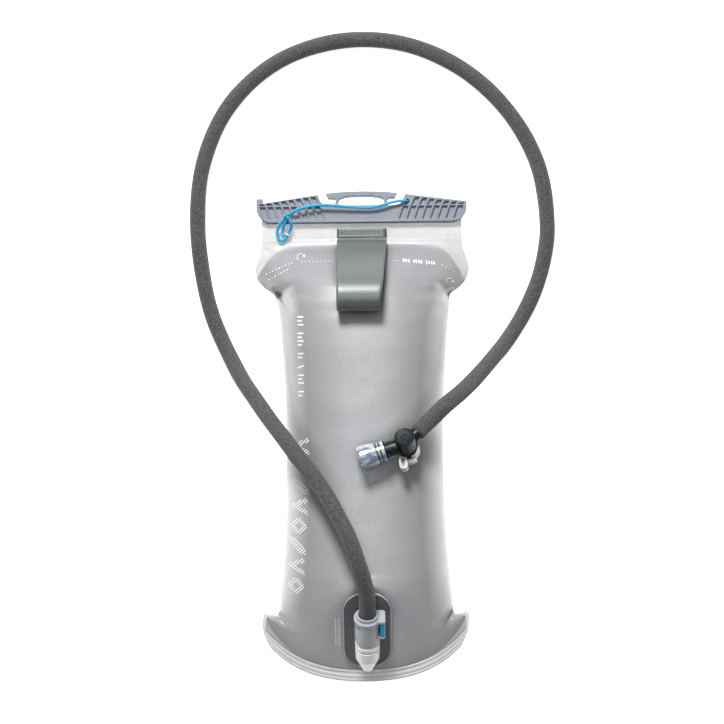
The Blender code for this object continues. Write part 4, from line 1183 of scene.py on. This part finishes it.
# -------------------- materials of the carried nodes
GREY_SLIDER = (0.235, 0.262, 0.31)
GREY_COUPLER = (0.40, 0.42, 0.445)
BLACK = (0.011, 0.016, 0.017)


def dress():
    """Materials of the CAD pieces that no mesh here stands for."""
    # The bar's edges toward the bag take painted shade, and its pockets are painted a little paler.
    slider = moulded("slider_plastic", GREY_SLIDER, 0.45, round_off=0.0009, worn=1.15,
                     painted_side_shade=0.85, painted_pocket_shade=1.05)
    rail = clear_plastic("rail_plastic", (0.86, 0.88, 0.88), 0.25, 0.8)
    clear = clear_plastic("lug_plastic", (0.9, 0.92, 0.93), 0.12, 0.55)
    frost = frosted("port_frosted")
    bead = clear_plastic("weld_bead", (0.60, 0.61, 0.63), 0.3, 0.9)
    plate = moulded("plate_plastic", (0.10, 0.103, 0.113), 0.42)
    coupler = moulded("coupler_plastic", GREY_COUPLER, 0.38)
    black = moulded("valve_plastic", BLACK, 0.3, worn=2.2, Specular_IOR_Level=0.14)
    blue = moulded("button_plastic", (0.010, 0.32, 0.66), 0.32)
    lever = moulded("lever_plastic", (0.74, 0.76, 0.74), 0.3, worn=1.1,
                    Transmission_Weight=0.25)
    white = moulded("spool_plastic", (0.66, 0.66, 0.65), 0.35, worn=1.1)
    seal = rubber("seal_rubber", (0.02, 0.02, 0.021))
    spring = steel("spring_wire")
    sheath = silicone("bite_silicone")
    looks = {
        "mouth_rail_front": rail, "mouth_rail_back": rail, "slider_bar": slider,
        "tether_lug": clear, "port_plate": plate, "port_weld_rim": bead, "port_body": frost,
        "port_poppet": white, "poppet_spring": spring, "poppet_seat": seal,
        "coupler_body": coupler, "coupler_seal": seal, "hose_barb": black,
        "release_button": blue, "button_spring": spring, "valve_body": black,
        "valve_cap": black, "valve_spool": white, "spool_seal": seal, "shutoff_lever": lever,
        "mouthpiece_stem": black, "bite_sheath": sheath,
    }
    for name, mat in looks.items():
        mesh = NODES[name].data
        mesh.materials.clear()
        mesh.materials.append(mat)


dress()


# -------------------- floor and light
FLOOR_HALF = 3000.0      # millimetres
FLOOR_Z = -0.4
KEY_AT = (-0.22, 1.30, 1.42)
TOP_AT = (0.0, 0.15, 1.75)
AIM_AT = (0.0, 0.05, 0.0)


def make_stage():
    corners = [(x * FLOOR_HALF, y * FLOOR_HALF, FLOOR_Z)
               for x, y in ((-1, -1), (1, -1), (1, 1), (-1, 1))]
    floor = add_mesh("floor", corners, [(0, 1, 2, 3)], floor_look("floor_paper"), smooth=False)


def area_light(name, place, size, power):
    data = bpy.data.lights.new(name, "AREA")
    data.size = size
    data.energy = power
    lamp = bpy.data.objects.new(name, data)
    lamp.location = place
    away = Vector(place) - Vector(AIM_AT)
    lamp.rotation_euler = away.to_track_quat("Z", "Y").to_euler()
    bpy.context.scene.collection.objects.link(lamp)


def make_light():
    """White sweep low down, dark ceiling, one lamp from the far end and one overhead."""
    world = bpy.data.worlds.new("studio_air")
    world.use_nodes = True
    tree = world.node_tree
    back = tree.nodes["Background"]
    place = tree.nodes.new("ShaderNodeTexCoord").outputs["Generated"]
    split = tree.nodes.new("ShaderNodeSeparateXYZ")
    fall = tree.nodes.new("ShaderNodeMapRange")
    tree.links.new(place, split.inputs[0])
    tree.links.new(split.outputs["Z"], fall.inputs["Value"])
    for key, value in (("From Min", 0.12), ("From Max", 0.42), ("To Min", 0.34), ("To Max", 0.05)):
        fall.inputs[key].default_value = value
    tree.links.new(fall.outputs[0], back.inputs["Strength"])
    back.inputs["Color"].default_value = (1.0, 1.0, 1.0, 1.0)
    bpy.context.scene.world = world
    area_light("key", KEY_AT, 0.42, 44.0)
    area_light("top", TOP_AT, 0.6, 6.0)
    bpy.context.scene.view_settings.view_transform = "Standard"


make_stage()
make_light()
